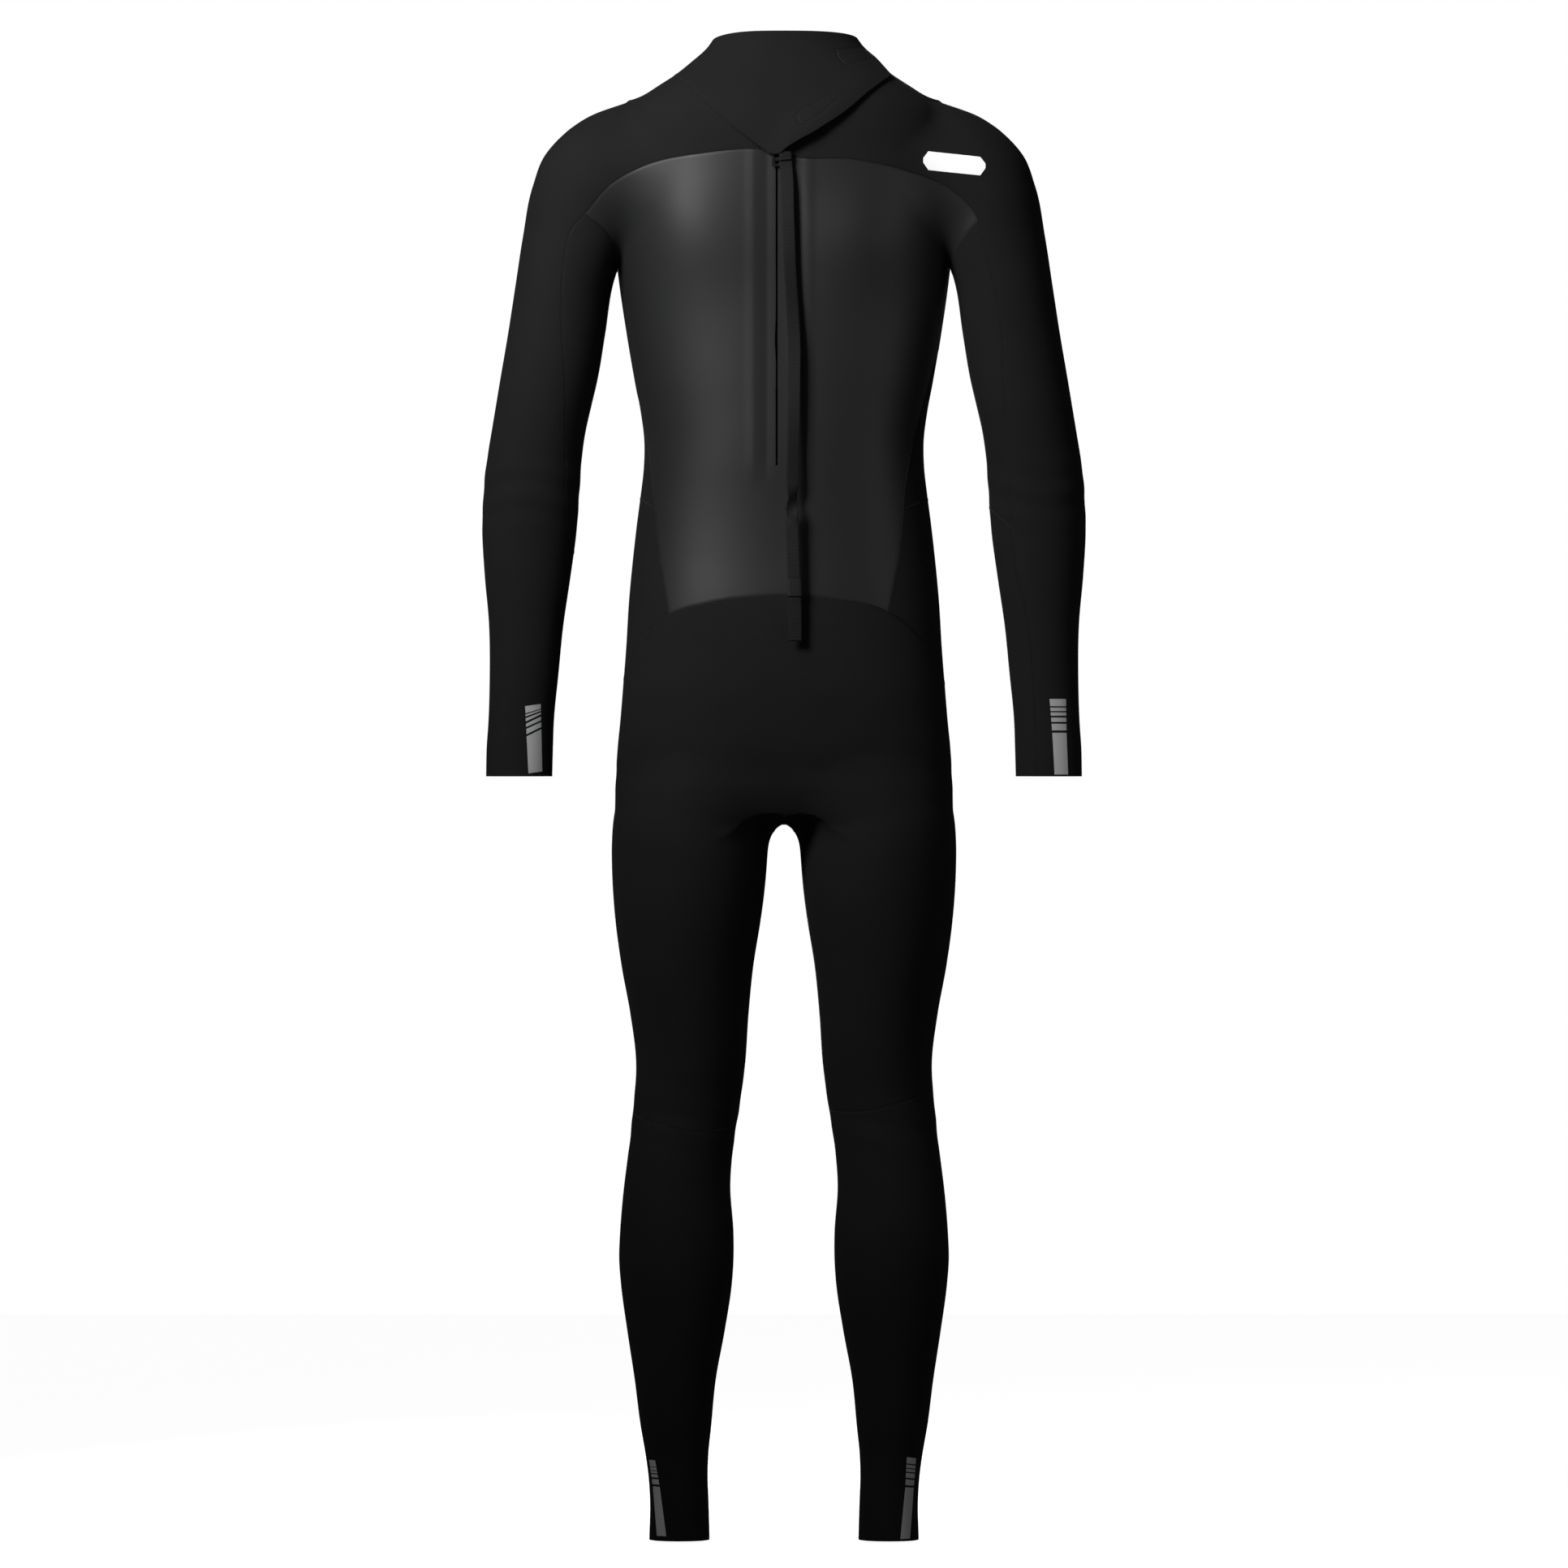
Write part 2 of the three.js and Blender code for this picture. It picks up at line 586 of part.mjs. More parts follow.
// One side of the chain: a tape bead with teeth that reach between those of the other side
function toothedStrip(sign, start) {
  const bead = sign * (halfChain - 1);
  const tip = -sign * (halfChain - 1.6);
  const outline = [[sign * halfChain, STOP_LENGTH + SEAM_GAP], [sign * halfChain, chainTop]];
  const teeth = Math.floor((chainTop - start - STOP_LENGTH - 1) / TOOTH_PITCH);
  const toothHeight = TOOTH_PITCH / 2 - SEAM_GAP;
  outline.push([bead, chainTop]);
  for (let i = teeth - 1; i >= 0; i--) {
    const foot = STOP_LENGTH + 1 + start + i * TOOTH_PITCH;
    outline.push([bead, foot + toothHeight], [tip, foot + toothHeight], [tip, foot], [bead, foot]);
  }
  outline.push([bead, STOP_LENGTH + SEAM_GAP]);
  return prism(outline, chainFace, chainBack);
}
for (const [side, sign] of [["left", -1], ["right", 1]]) {
  const near = sign * (halfChain + SEAM_GAP);
  const far = near + sign * TAPE_WIDTH;
  const edges = [near, far].sort((a, b) => a - b);
  const stopEdges = [sign * STOP_START, sign * halfChain].sort((a, b) => a - b);
  const stopFoot = zipLength + SEAM_GAP;
  const tape = block(...edges, tapeFace, tapeFace + TAPE_THICKNESS, 0, stopFoot + STOP_LENGTH);
  const topStop = block(...stopEdges, stopFace, chainBack, stopFoot, stopFoot + STOP_LENGTH);
  add(side + "_zip_tape", tape, webbingBlack, zip);
  add(side + "_zip_teeth", toothedStrip(sign, sign < 0 ? 0 : TOOTH_PITCH / 2), zipPlastic, zip);
  add(side + "_zip_top_stop", topStop, zipPlastic, zip);
}
const bottomStop = block(-halfChain, halfChain, chainFace, chainBack + 1, 0, STOP_LENGTH);
add("zip_bottom_stop", bottomStop, zipPlastic, zip);

// Slider: an outer and an inner plate joined by the neck, with an open bridge for the pull tab
const sliderLow = zipLength - SLIDER_LENGTH;
const halfSlider = SLIDER_WIDTH / 2;
const outerPlate = -SLIDER_CLEARANCE - SLIDER_PLATE;
const innerPlate = chainBack + SLIDER_CLEARANCE;
const bridgeLow = sliderLow + 1;
const bridgeHigh = sliderLow + 10;
const bridgeHalf = 1.5;
const bridgeTop = outerPlate - BRIDGE_RISE;
const postLength = 2;
const sliderBody = block(-halfSlider, halfSlider, outerPlate, -SLIDER_CLEARANCE, sliderLow, zipLength)
  .add(block(-halfSlider, halfSlider, innerPlate, innerPlate + SLIDER_PLATE, sliderLow, zipLength))
  .add(block(-0.9, 0.9, -SLIDER_CLEARANCE - 0.2, innerPlate + 0.2, zipLength - SLIDER_NECK, zipLength))
  .add(block(-bridgeHalf, bridgeHalf, bridgeTop, outerPlate + 0.2, bridgeLow, bridgeLow + postLength))
  .add(block(-bridgeHalf, bridgeHalf, bridgeTop, outerPlate + 0.2, bridgeHigh - postLength, bridgeHigh))
  .add(block(-bridgeHalf, bridgeHalf, bridgeTop, bridgeTop + 1, bridgeLow, bridgeHigh));
add("zip_slider", sliderBody, zipMetal, zip);

// Pull tab: its top bar lies under the bridge, and its window clears the bridge as it lifts
const hingeHeight = bridgeLow + postLength + 1.6;
const hingeOut = bridgeTop + 1 + (BRIDGE_RISE - 1) / 2;
const windowHalf = bridgeHalf + 1;
const windowLength = 9;
const halfTab = TAB_WIDTH / 2;
const halfBar = 0.7;
const tabTop = hingeHeight + halfBar;
const windowTop = hingeHeight - halfBar;
const plate = (x0, x1, z0, z1) =>
  block(x0, x1, hingeOut - TAB_THICKNESS / 2, hingeOut + TAB_THICKNESS / 2, z0, z1);
const tab = plate(-halfTab, halfTab, tabTop - TAB_LENGTH, tabTop)
  .subtract(plate(-windowHalf, windowHalf, windowTop - windowLength, windowTop))
  .subtract(plate(-windowHalf, windowHalf, tabTop - TAB_LENGTH + 2, tabTop - TAB_LENGTH + 5));
add("pull_tab", tab, zipMetal, zip);

// Neoprene flap behind the zip, its left hem raised to the back panel it is sewn to
const backingFace = innerPlate + SLIDER_PLATE + SLIDER_CLEARANCE;
const backingLow = -BACKING_WIDTH / 2 + 3.5;
const backingHigh = backingLow + BACKING_WIDTH;
const backingBack = backingFace + BACKING_THICKNESS;
const backingSheet = block(backingLow, backingHigh, backingFace, backingBack, -6, zipLength);
const backingHem = block(backingLow, backingLow + 6, BODY_WALL + HEM_BED, backingFace + 1, -6, zipLength - 30);
add("zip_backing", backingSheet.add(backingHem), jersey, zip);

// Lanyard: a flat strap that hangs from the pull tab, a little off the back
const LANYARD_ROUTE = [
  [1, -97.4, 1338],
  [2, -97.6, 1326],
  [3.2, -99.4, 1311],
  [3.8, -102, 1285],
  [4.6, -103.4, 1258],
  [5.5, -104.6, 1230],
  [7, -105.8, 1203],
  [8.6, -107, 1177],
  [10, -108, 1152],
  [10, -109.1, 1128],
  [9.7, -110.2, 1105],
  [9.4, -111.2, 1081],
  [8.9, -112.2, 1058],
  [8.4, -113, 1036],
  [8, -114, 1014],
  [8, -115, 996],
  [8, -116, 979],
  [8.6, -117.1, 957],
  [9.4, -118.1, 936],
  [10.4, -119.1, 904],
  [10.6, -120, 868],
];
const strapShift = (z) => {
  const below = LANYARD_ROUTE.findIndex((point) => onBody(point[2]) <= z);
  if (below < 1) return across(LANYARD_ROUTE[below < 0 ? LANYARD_ROUTE.length - 1 : 0][0]);
  const [xa, , za] = LANYARD_ROUTE[below - 1];
  const [xb, , zb] = LANYARD_ROUTE[below];
  return across(THREE.MathUtils.mapLinear(z, onBody(za), onBody(zb), xa, xb));
};
// A layer of the strap between two depths from its middle, over a stretch of the route
function strapLayer(width, near, far, route) {
  const outer = route.map(([, y, z]) => new THREE.Vector2(-onBody(z), deep(y) + near));
  const innerSide = route.map(([, y, z]) => new THREE.Vector2(-onBody(z), deep(y) + far)).reverse();
  const shape = new THREE.Shape([...outer, ...innerSide]);
  const strap = new THREE.ExtrudeGeometry(shape, { depth: width, bevelEnabled: false });
  strap.rotateY(Math.PI / 2).translate(-width / 2, 0, 0);
  const place = strap.attributes.position;
  for (let i = 0; i < place.count; i++) place.setX(i, place.getX(i) + strapShift(place.getZ(i)));
  return solidOf(strap);
}
const halfStrap = WEBBING_THICKNESS / 2;
add("lanyard", strapLayer(WEBBING_WIDTH, -halfStrap, halfStrap, LANYARD_ROUTE), webbingBlack);
const stretch = (from, length, lean) =>
  [0, 1].map((share) => [0, LANYARD_ROUTE[lean][1] - share * 0.9, from - share * length]);
const outside = -halfStrap - SEAM_GAP;
const keeper = strapLayer(WEBBING_WIDTH + 1, outside - 0.8, outside, stretch(927, KEEPER_LENGTH, 18));
add("lanyard_keeper", keeper, hookBlack);
const tabRoute = stretch(904, END_TAB_LENGTH, 19);
const endTab = strapLayer(WEBBING_WIDTH + 0.6, outside - WEBBING_THICKNESS, outside, tabRoute);
add("lanyard_end_tab", endTab, webbingBlack);

// Prints: thin films that follow the skin
const film = (form, zone) => form(-SEAM_GAP - PRINT_THICKNESS).subtract(form(-SEAM_GAP)).intersect(zone);
// A solid block with stripes above it, joined along one edge
function stripedOutline(x0, x1, z0, zBlock, z1, slant, lean) {
  const stripes = 3;
  const pitch = (z1 - zBlock) / stripes;
  const spine = x0 + 2;
  const points = [[x1, z0], [x1, zBlock], [spine, zBlock - slant]];
  for (let i = 0; i < stripes; i++) {
    const foot = zBlock + (i + 0.35) * pitch;
    const top = zBlock + (i + 1) * pitch;
    points.push([spine, foot - slant], [x1, foot], [x1, top], [spine, top - slant]);
  }
  points.push([x0, z1 - slant], [x0, z0]);
  return points.map(([x, z]) => [x + ((z - z0) * lean) / (z1 - z0), z]);
}
const sleevePrint = (points) => prism(points.map(([x, z]) => [across(x), onSleeve(z)]), -FAR, 0);
const legPrint = (points) => prism(graded(points), -FAR, 0);
const leftWrist = stripedOutline(-249, -236, 743, 775, 808, 6, -1);
const rightWrist = stripedOutline(259, 274, 741, 780, 813, 0, -2);
const leftAnkle = stripedOutline(-123, -115, 6, 48, 78, 0, -8);
const rightAnkle = stripedOutline(114, 122, 4, 50, 82, 0, 6);
add("left_wrist_print", film((inset) => armTube(-1, inset), sleevePrint(leftWrist)), greyPrint);
add("right_wrist_print", film((inset) => armTube(1, inset), sleevePrint(rightWrist)), greyPrint);
add("left_ankle_print", film((inset) => legTube(-1, inset), legPrint(leftAnkle)), greyPrint);
add("right_ankle_print", film((inset) => legTube(1, inset), legPrint(rightAnkle)), greyPrint);
const shoulderMark = graded([[133, 1331], [138, 1340], [190, 1335], [195, 1326], [190, 1317], [138, 1322]]);
add("shoulder_mark", film(bodyForm, prism(shoulderMark, -FAR, 0)), whitePrint);

export default suit;
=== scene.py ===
# A back-zip wetsuit, shown from the back in its worn shape. +Z is up, -Y the back and +X the wearer's right.
import json
import math

import bmesh
import bpy
import numpy as np
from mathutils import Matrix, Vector
from mathutils.kdtree import KDTree


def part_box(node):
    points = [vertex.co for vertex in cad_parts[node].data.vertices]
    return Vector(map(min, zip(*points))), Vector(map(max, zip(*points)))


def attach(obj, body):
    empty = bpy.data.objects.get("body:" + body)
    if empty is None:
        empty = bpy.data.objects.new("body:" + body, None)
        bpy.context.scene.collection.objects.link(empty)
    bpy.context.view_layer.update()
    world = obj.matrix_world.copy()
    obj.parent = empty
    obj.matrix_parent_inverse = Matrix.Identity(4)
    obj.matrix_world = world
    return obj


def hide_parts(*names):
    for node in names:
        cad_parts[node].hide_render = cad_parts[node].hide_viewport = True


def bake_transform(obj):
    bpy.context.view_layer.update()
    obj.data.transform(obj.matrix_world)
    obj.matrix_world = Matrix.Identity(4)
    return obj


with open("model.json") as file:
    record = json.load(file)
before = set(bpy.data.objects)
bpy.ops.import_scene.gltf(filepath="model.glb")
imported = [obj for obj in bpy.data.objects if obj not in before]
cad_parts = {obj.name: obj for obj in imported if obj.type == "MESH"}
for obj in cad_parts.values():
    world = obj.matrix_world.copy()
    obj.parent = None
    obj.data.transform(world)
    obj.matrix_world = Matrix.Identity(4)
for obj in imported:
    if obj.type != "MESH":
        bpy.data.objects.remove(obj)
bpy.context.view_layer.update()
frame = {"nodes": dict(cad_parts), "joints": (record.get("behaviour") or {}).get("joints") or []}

scene = bpy.context.scene

# Camera. It stands fourteen metres behind the suit, level with its middle, and a long lens
# keeps the suit's outline almost flat.
CAMERA_DISTANCE = 14.0
CAMERA_HEIGHT = 0.7308
FIELD_WIDTH = 1.517
SENSOR_WIDTH = 36
camera_data = bpy.data.cameras.new("camera")
camera_data.sensor_width = SENSOR_WIDTH
camera_data.lens = SENSOR_WIDTH * CAMERA_DISTANCE / FIELD_WIDTH
camera = bpy.data.objects.new("camera", camera_data)
camera.location = (0, -CAMERA_DISTANCE, CAMERA_HEIGHT)
camera.rotation_euler = (math.pi / 2, 0, 0)
scene.collection.objects.link(camera)
scene.camera = camera

# Lanyard. Flat black webbing, 12 mm wide and woven with cross ribs, that is stitched to the
# zip's pull tab and hangs a little off the back. Its lower end is doubled, with a keeper above.
WEBBING_WIDTH = 0.012
WEBBING_THICKNESS = 0.0014
RIB_PITCH = 0.0019
RIB_DEPTH = 0.00013
LANYARD_ROUTE = [
    (1, -97.4, 1338),
    (2, -97.6, 1326),
    (3.2, -99.4, 1311),
    (3.8, -102, 1285),
    (4.6, -103.4, 1258),
    (5.5, -104.6, 1230),
    (7, -105.8, 1203),
    (8.6, -107, 1177),
    (10, -108, 1152),
    (10, -109.1, 1128),
    (9.7, -110.2, 1105),
    (9.4, -111.2, 1081),
    (8.9, -112.2, 1058),
    (8.4, -113, 1036),
    (8, -114, 1014),
    (8, -115, 996),
    (8, -116, 979),
    (8.6, -117.1, 957),
    (9.4, -118.1, 936),
    (10.4, -119.1, 904),
    (10.6, -120, 868),
]


def table(rows):
    """Measured rows, height first, as a smooth function of height. Millimetres in, metres out."""
    rows = np.array(rows, float) / 1000
    heights, values = rows[:, 0], rows[:, 1:]
    slopes = np.gradient(values, heights, axis=0)

    def at(height):
        i = np.clip(np.searchsorted(heights, height) - 1, 0, len(heights) - 2)
        gap = (heights[i + 1] - heights[i])[:, None]
        t = np.clip((height - heights[i])[:, None] / gap, 0, 1)
        low = (1 + 2 * t) * (1 - t) ** 2 * values[i] + t * (1 - t) ** 2 * gap * slopes[i]
        high = t * t * (3 - 2 * t) * values[i + 1] + t * t * (t - 1) * gap * slopes[i + 1]
        return low + high

    return at


def mesh_object(name, points, faces, material, smooth=True):
    mesh = bpy.data.meshes.new(name)
    mesh.from_pydata([tuple(p) for p in points], [], [tuple(f) for f in faces])
    mesh.materials.append(material)
    mesh.shade_smooth() if smooth else mesh.shade_flat()
    made = bpy.data.objects.new(name, mesh)
    scene.collection.objects.link(made)
    return made


def plain_material(name, colour, roughness, metallic=0.0, sheen=0.0, specular=0.5, glow=0.0):
    material = bpy.data.materials.new(name)
    material.use_nodes = True
    inputs = material.node_tree.nodes["Principled BSDF"].inputs
    inputs["Base Color"].default_value = (*colour, 1)
    inputs["Roughness"].default_value = roughness
    inputs["Metallic"].default_value = metallic
    inputs["Sheen Weight"].default_value = sheen
    inputs["Specular IOR Level"].default_value = specular
    inputs["Emission Color"].default_value = (1, 1, 1, 1)
    inputs["Emission Strength"].default_value = glow
    return material


def effect(name, takes, gives):
    """A node group for an effect that materials share, with its own input and output nodes."""
    group = bpy.data.node_groups.new(name, "ShaderNodeTree")
    for label, kind in takes.items():
        group.interface.new_socket(label, in_out="INPUT", socket_type="NodeSocket" + kind)
    for label, kind in gives.items():
        group.interface.new_socket(label, in_out="OUTPUT", socket_type="NodeSocket" + kind)
    return group, group.nodes.new("NodeGroupInput"), group.nodes.new("NodeGroupOutput")


def placed(material, group, **values):
    """An effect's node in a material, with its own values."""
    node = material.node_tree.nodes.new("ShaderNodeGroup")
    node.node_tree = group
    for label, value in values.items():
        node.inputs[label].default_value = value
    return node


# Fine unevenness of a surface, as a normal: noise that may be stretched along an axis
grain_takes = {"Scale": "Float", "Strength": "Float", "Depth": "Float", "Stretch": "Vector"}
grain_effect, grain_in, grain_out = effect("grain", grain_takes, {"Normal": "Vector"})
grain_place = grain_effect.nodes.new("ShaderNodeTexCoord")
grain_mapping = grain_effect.nodes.new("ShaderNodeMapping")
grain_noise = grain_effect.nodes.new("ShaderNodeTexNoise")
grain_noise.inputs["Detail"].default_value = 3
grain_bump = grain_effect.nodes.new("ShaderNodeBump")
for start, end in (
    (grain_place.outputs["Object"], grain_mapping.inputs["Vector"]),
    (grain_in.outputs["Stretch"], grain_mapping.inputs["Scale"]),
    (grain_mapping.outputs["Vector"], grain_noise.inputs["Vector"]),
    (grain_in.outputs["Scale"], grain_noise.inputs["Scale"]),
    (grain_noise.outputs["Fac"], grain_bump.inputs["Height"]),
    (grain_in.outputs["Strength"], grain_bump.inputs["Strength"]),
    (grain_in.outputs["Depth"], grain_bump.inputs["Distance"]),
    (grain_bump.outputs["Normal"], grain_out.inputs["Normal"]),
):
    grain_effect.links.new(start, end)


def add_grain(material, scale, strength, depth, stretch=(1, 1, 1)):
    grain = placed(material, grain_effect, Scale=scale, Strength=strength, Depth=depth, Stretch=stretch)
    shader = material.node_tree.nodes["Principled BSDF"]
    material.node_tree.links.new(grain.outputs["Normal"], shader.inputs["Normal"])
    return grain


def strap(name, centres, turns, width, thickness, rib, material):
    """Flat webbing along its centres, turned about its length, with cross ribs and beaded edges."""
    centres = np.asarray(centres)
    along = np.gradient(centres, axis=0)
    along /= np.linalg.norm(along, axis=1)[:, None]
    travelled = np.concatenate([[0], np.cumsum(np.linalg.norm(np.diff(centres, axis=0), axis=1))])
    level = np.cross(along, [0.0, -1.0, 0.0])
    level /= np.linalg.norm(level, axis=1)[:, None]
    out = np.cross(level, along)
    side = level * np.cos(turns)[:, None] + out * np.sin(turns)[:, None]
    face = np.cross(side, along)
    ribs = rib * np.cos(travelled / RIB_PITCH * 2 * math.pi)
    beads = rib * np.cos(travelled / RIB_PITCH * 4 * math.pi)
    section = [(-1, -0.2), (-0.97, -0.8), (-0.9, -1), (-0.45, -1), (0, -1)]
    section += [(-a, b) for a, b in section[-2::-1]]
    section += [(-a, -b) for a, b in section]
    points, faces = [], []
    for a, b in section:
        reach = a * (width / 2 + beads * (abs(a) > 0.92))
        depth = b * (thickness / 2 + ribs * (abs(b) > 0.9))
        points.append(centres + side * reach[:, None] + face * depth[:, None])
    points = np.array(points)
    around, count = points.shape[:2]
    for i in range(count - 1):
        for j in range(around):
            k = (j + 1) % around
            faces.append((j * count + i, k * count + i, k * count + i + 1, j * count + i + 1))
    faces.append([j * count for j in range(around)][::-1])
    faces.append([j * count + count - 1 for j in range(around)])
    return mesh_object(name, points.reshape(-1, 3), faces, material)


webbing_black = plain_material("webbing", (0.014, 0.014, 0.0143), 0.75, sheen=0.01, specular=0.2)
add_grain(webbing_black, 2600, 0.5, 0.0002)
lanyard_path = table([(z, x, y) for x, y, z in LANYARD_ROUTE[::-1]])
LANYARD_TOP, LANYARD_END = 1.338, 0.868
SAMPLE = 0.00035
strap_heights = np.linspace(LANYARD_TOP, LANYARD_END, int((LANYARD_TOP - LANYARD_END) / SAMPLE))
strap_xy = lanyard_path(strap_heights)
strap_line = np.column_stack([strap_xy, strap_heights])
# The strap leans to one side and back in a short twist below its middle, and a little all along.
lean = 0.75 * np.exp(-(((strap_heights - 1.005) / 0.009) ** 2))
lean -= 0.55 * np.exp(-(((strap_heights - 0.988) / 0.006) ** 2))
lean += 0.22 * np.sin((strap_heights - 1.0) * 38)
lanyard = strap(
    "lanyard_webbing", strap_line, lean, WEBBING_WIDTH, WEBBING_THICKNESS, RIB_DEPTH, webbing_black
)


def strap_piece(name, low, high, out, width, thickness, rib, material):
    """A short layer on the strap's outer face, between two heights."""
    heights = np.linspace(high, low, max(int((high - low) / SAMPLE), 12))
    centres = np.column_stack([lanyard_path(heights), heights])
    centres[:, 1] -= out
    return strap(name, centres, np.zeros(len(heights)), width, thickness, rib, material)


keeper_black = plain_material("keeper", (0.006, 0.006, 0.0062), 0.5)
add_grain(keeper_black, 900, 0.2, 0.0002)
keeper = strap_piece("strap_keeper", 0.911, 0.927, 0.0014, 0.013, 0.0011, 0.0, keeper_black)
end_tab = strap_piece(
    "strap_end", 0.8685, 0.904, 0.00172, 0.0126, WEBBING_THICKNESS, 0.00016, webbing_black
)
top_fold = strap_piece("strap_top_fold", 1.3305, 1.3385, 0.0016, 0.0118, 0.0019, 0.0003, webbing_black)

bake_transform(lanyard)
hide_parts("lanyard")
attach(top_fold, "pull_tab")
for piece, node, slot in (
    (keeper, "lanyard_keeper", "hook_and_loop"),
    (end_tab, "lanyard_end_tab", "webbing"),
):
    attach(piece, "zip_slider")
    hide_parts(node)

# The suit's panels. Neoprene foam 4 mm thick on the body and 3 mm on the limbs, cut flat and
# glued and blind-stitched edge to edge. The body measurements give one smooth worn shape, and
# each seam cuts it through, so neighbouring panels meet exactly.
BODY_WALL = 0.004
LIMB_WALL = 0.003
# Columns are height, half width, back and front, in millimetres
TRUNK = [
    (690, 126, -86, 66),
    (702, 146, -95, 76),
    (722, 159, -103, 86),
    (745, 162, -106, 89),
    (765, 161, -109, 92),
    (790, 158.5, -111, 95),
    (820, 156, -113, 97),
    (861, 152.8, -111, 99),
    (910, 149.8, -106, 100),
    (950, 146, -102, 99),
    (985, 142, -100, 99),
    (1010, 138.7, -99.5, 99),
    (1038, 135.6, -99.5, 99),
    (1062, 135.2, -99.2, 100),
    (1090, 138.6, -98.5, 102),
    (1120, 144.2, -97.8, 106),
    (1167, 152.2, -96.5, 112),
    (1214, 159, -95.2, 117),
    (1250, 163, -94.6, 118),
    (1290, 168, -93.4, 114),
    (1320, 168.5, -92.6, 106),
    (1341, 166, -92, 98),
    (1365, 158, -91, 86),
    (1385, 147, -87, 74),
    (1400, 130, -80, 67),
    (1417, 104.6, -71, 62),
    (1430, 88.6, -64, 60),
    (1442, 75.2, -60.5, 60),
    (1450, 69.2, -59, 61),
    (1457, 65, -58, 62),
]
# Columns are height, outer side, inner side, back and front
ARM = [
    (738, 288.6, 224.4, -18, 48),
    (767, 288, 223.6, -19, 47),
    (790, 286.4, 222.8, -20, 46),
    (838, 285, 218.2, -24, 44),
    (885, 285.6, 213.4, -30, 44),
    (932, 289.6, 206.4, -38, 44),
    (979, 292, 200.2, -46, 46),
    (1002, 291.2, 198.5, -50, 46),
    (1026, 289.6, 196.9, -53, 45),
    (1050, 286.4, 195, -55, 46),
    (1073, 282.6, 191.5, -57, 47),
    (1097, 278.6, 186, -59, 48),
    (1120, 274.8, 180.6, -60, 50),
    (1167, 266.8, 172.7, -61, 52),
    (1214, 259.6, 165.6, -62, 54),
    (1261, 252.4, 150, -62, 54),
    (1309, 243, 135, -62, 54),
    (1342, 229, 120, -56, 48),
    (1356, 216.5, 114, -50, 43),
    (1367, 203.5, 108, -43, 37),
    (1379, 183, 104, -33, 29),
    (1390, 152, 98, -21, 17),
]
LEG = [
    (0, 130.3, 72, -44, 36),
    (37, 129.6, 73, -44, 34),
    (60, 131, 73.8, -44, 34),
    (84, 134.2, 73, -46, 34),
    (107, 138.2, 70.6, -50, 35),
    (155, 144.4, 65.9, -58, 38),
    (202, 151.5, 57.3, -66, 42),
    (249, 157.8, 50.2, -72, 45),
    (272, 159.4, 48.7, -74, 46),
    (296, 158.6, 48.7, -74, 48),
    (343, 154.6, 51.8, -69, 53),
    (390, 148.4, 47.9, -64, 60),
    (414, 146, 44, -62, 62),
    (461, 142.9, 37.7, -68, 68),
    (508, 148.4, 34.5, -77, 75),
    (555, 157, 29.8, -87, 81),
    (602, 163.3, 22, -96, 86),
    (649, 166.4, 14.9, -102, 88),
    (673, 166.6, 11.8, -104, 88),
    (700, 164.5, 9.5, -103, 85),
    (725, 158.5, 10, -97, 79),
    (750, 144, 14, -84, 66),
    (770, 128, 24, -66, 48),
]
trunk_rows = table([(z, half, -half, back, front) for z, half, back, front in TRUNK])
arm_rows = table(ARM)
leg_rows = table(LEG)
# Fillets where the tubes meet: tight between the legs and under the arm, wide over the hip, and
# widest over the shoulder blade, where the arm runs into the back.
CROTCH_FILLET = 0.006
SEAT_FILLET, HIP_FILLET = 0.030, 0.016
HIP_FROM, HIP_TO = 0.10, 0.15
SHOULDER_FILLETS = [(738, 5), (1236, 5), (1300, 48), (1335, 48), (1372, 14), (1400, 12)]
shoulder_fillet = table(SHOULDER_FILLETS)
# A tube's section: 2 is an ellipse, and more is fuller at the corners
TRUNK_FULLNESS, LIMB_FULLNESS = 2.4, 2.1
TRUNK_FOOT, LEG_TOP, ARM_TOP = 0.694, 0.768, 1.392
WRIST_HEM, COLLAR_RIM = 0.738, 1.457
ELBOW, KNEE = 1.012, 0.405
# The back's hills and hollows: height, then place and reach, each across and up. They are the left
# and right shoulder blades, the spine and the hollow under the seat.
HILLS = [
    (0.0062, -0.098, 1.262, 0.054, 0.062),
    (0.0078, 0.086, 1.258, 0.046, 0.050),
    (-0.0011, 0, 1.19, 0.022, 0.15),
    (-0.0085, 0, 0.695, 0.085, 0.055),
]
# The flap behind the zip shows as ridges and a hollow along it: height, place and reach across
ZIP_RIDGES = [(0.0007, -0.030, 0.0055), (0.00063, 0.023, 0.005), (-0.0006, -0.0165, 0.0045)]
ZIP_RIDGE_FOOT, ZIP_RIDGE_TOP = 1.03, 1.345


def tube_distance(points, rows, side, fullness):
    outer, inner, back, front = rows(points[:, 2]).T
    across = points[:, 0] - side * (outer + inner) / 2
    depth = points[:, 1] - (back + front) / 2
    reach = np.abs(across / ((outer - inner) / 2)) ** fullness
    reach = (reach + np.abs(depth / ((front - back) / 2)) ** fullness) ** (1 / fullness) + 1e-4
    return np.hypot(across, depth) * (1 - 1 / reach)


def joined(a, b, fillet):
    h = np.maximum(fillet - np.abs(a - b), 0) / fillet
    return np.minimum(a, b) - h * h * fillet / 4


def hill(x, z, x0, z0, wide, tall):
    return np.exp(-(((x - x0) / wide) ** 2) - ((z - z0) / tall) ** 2)


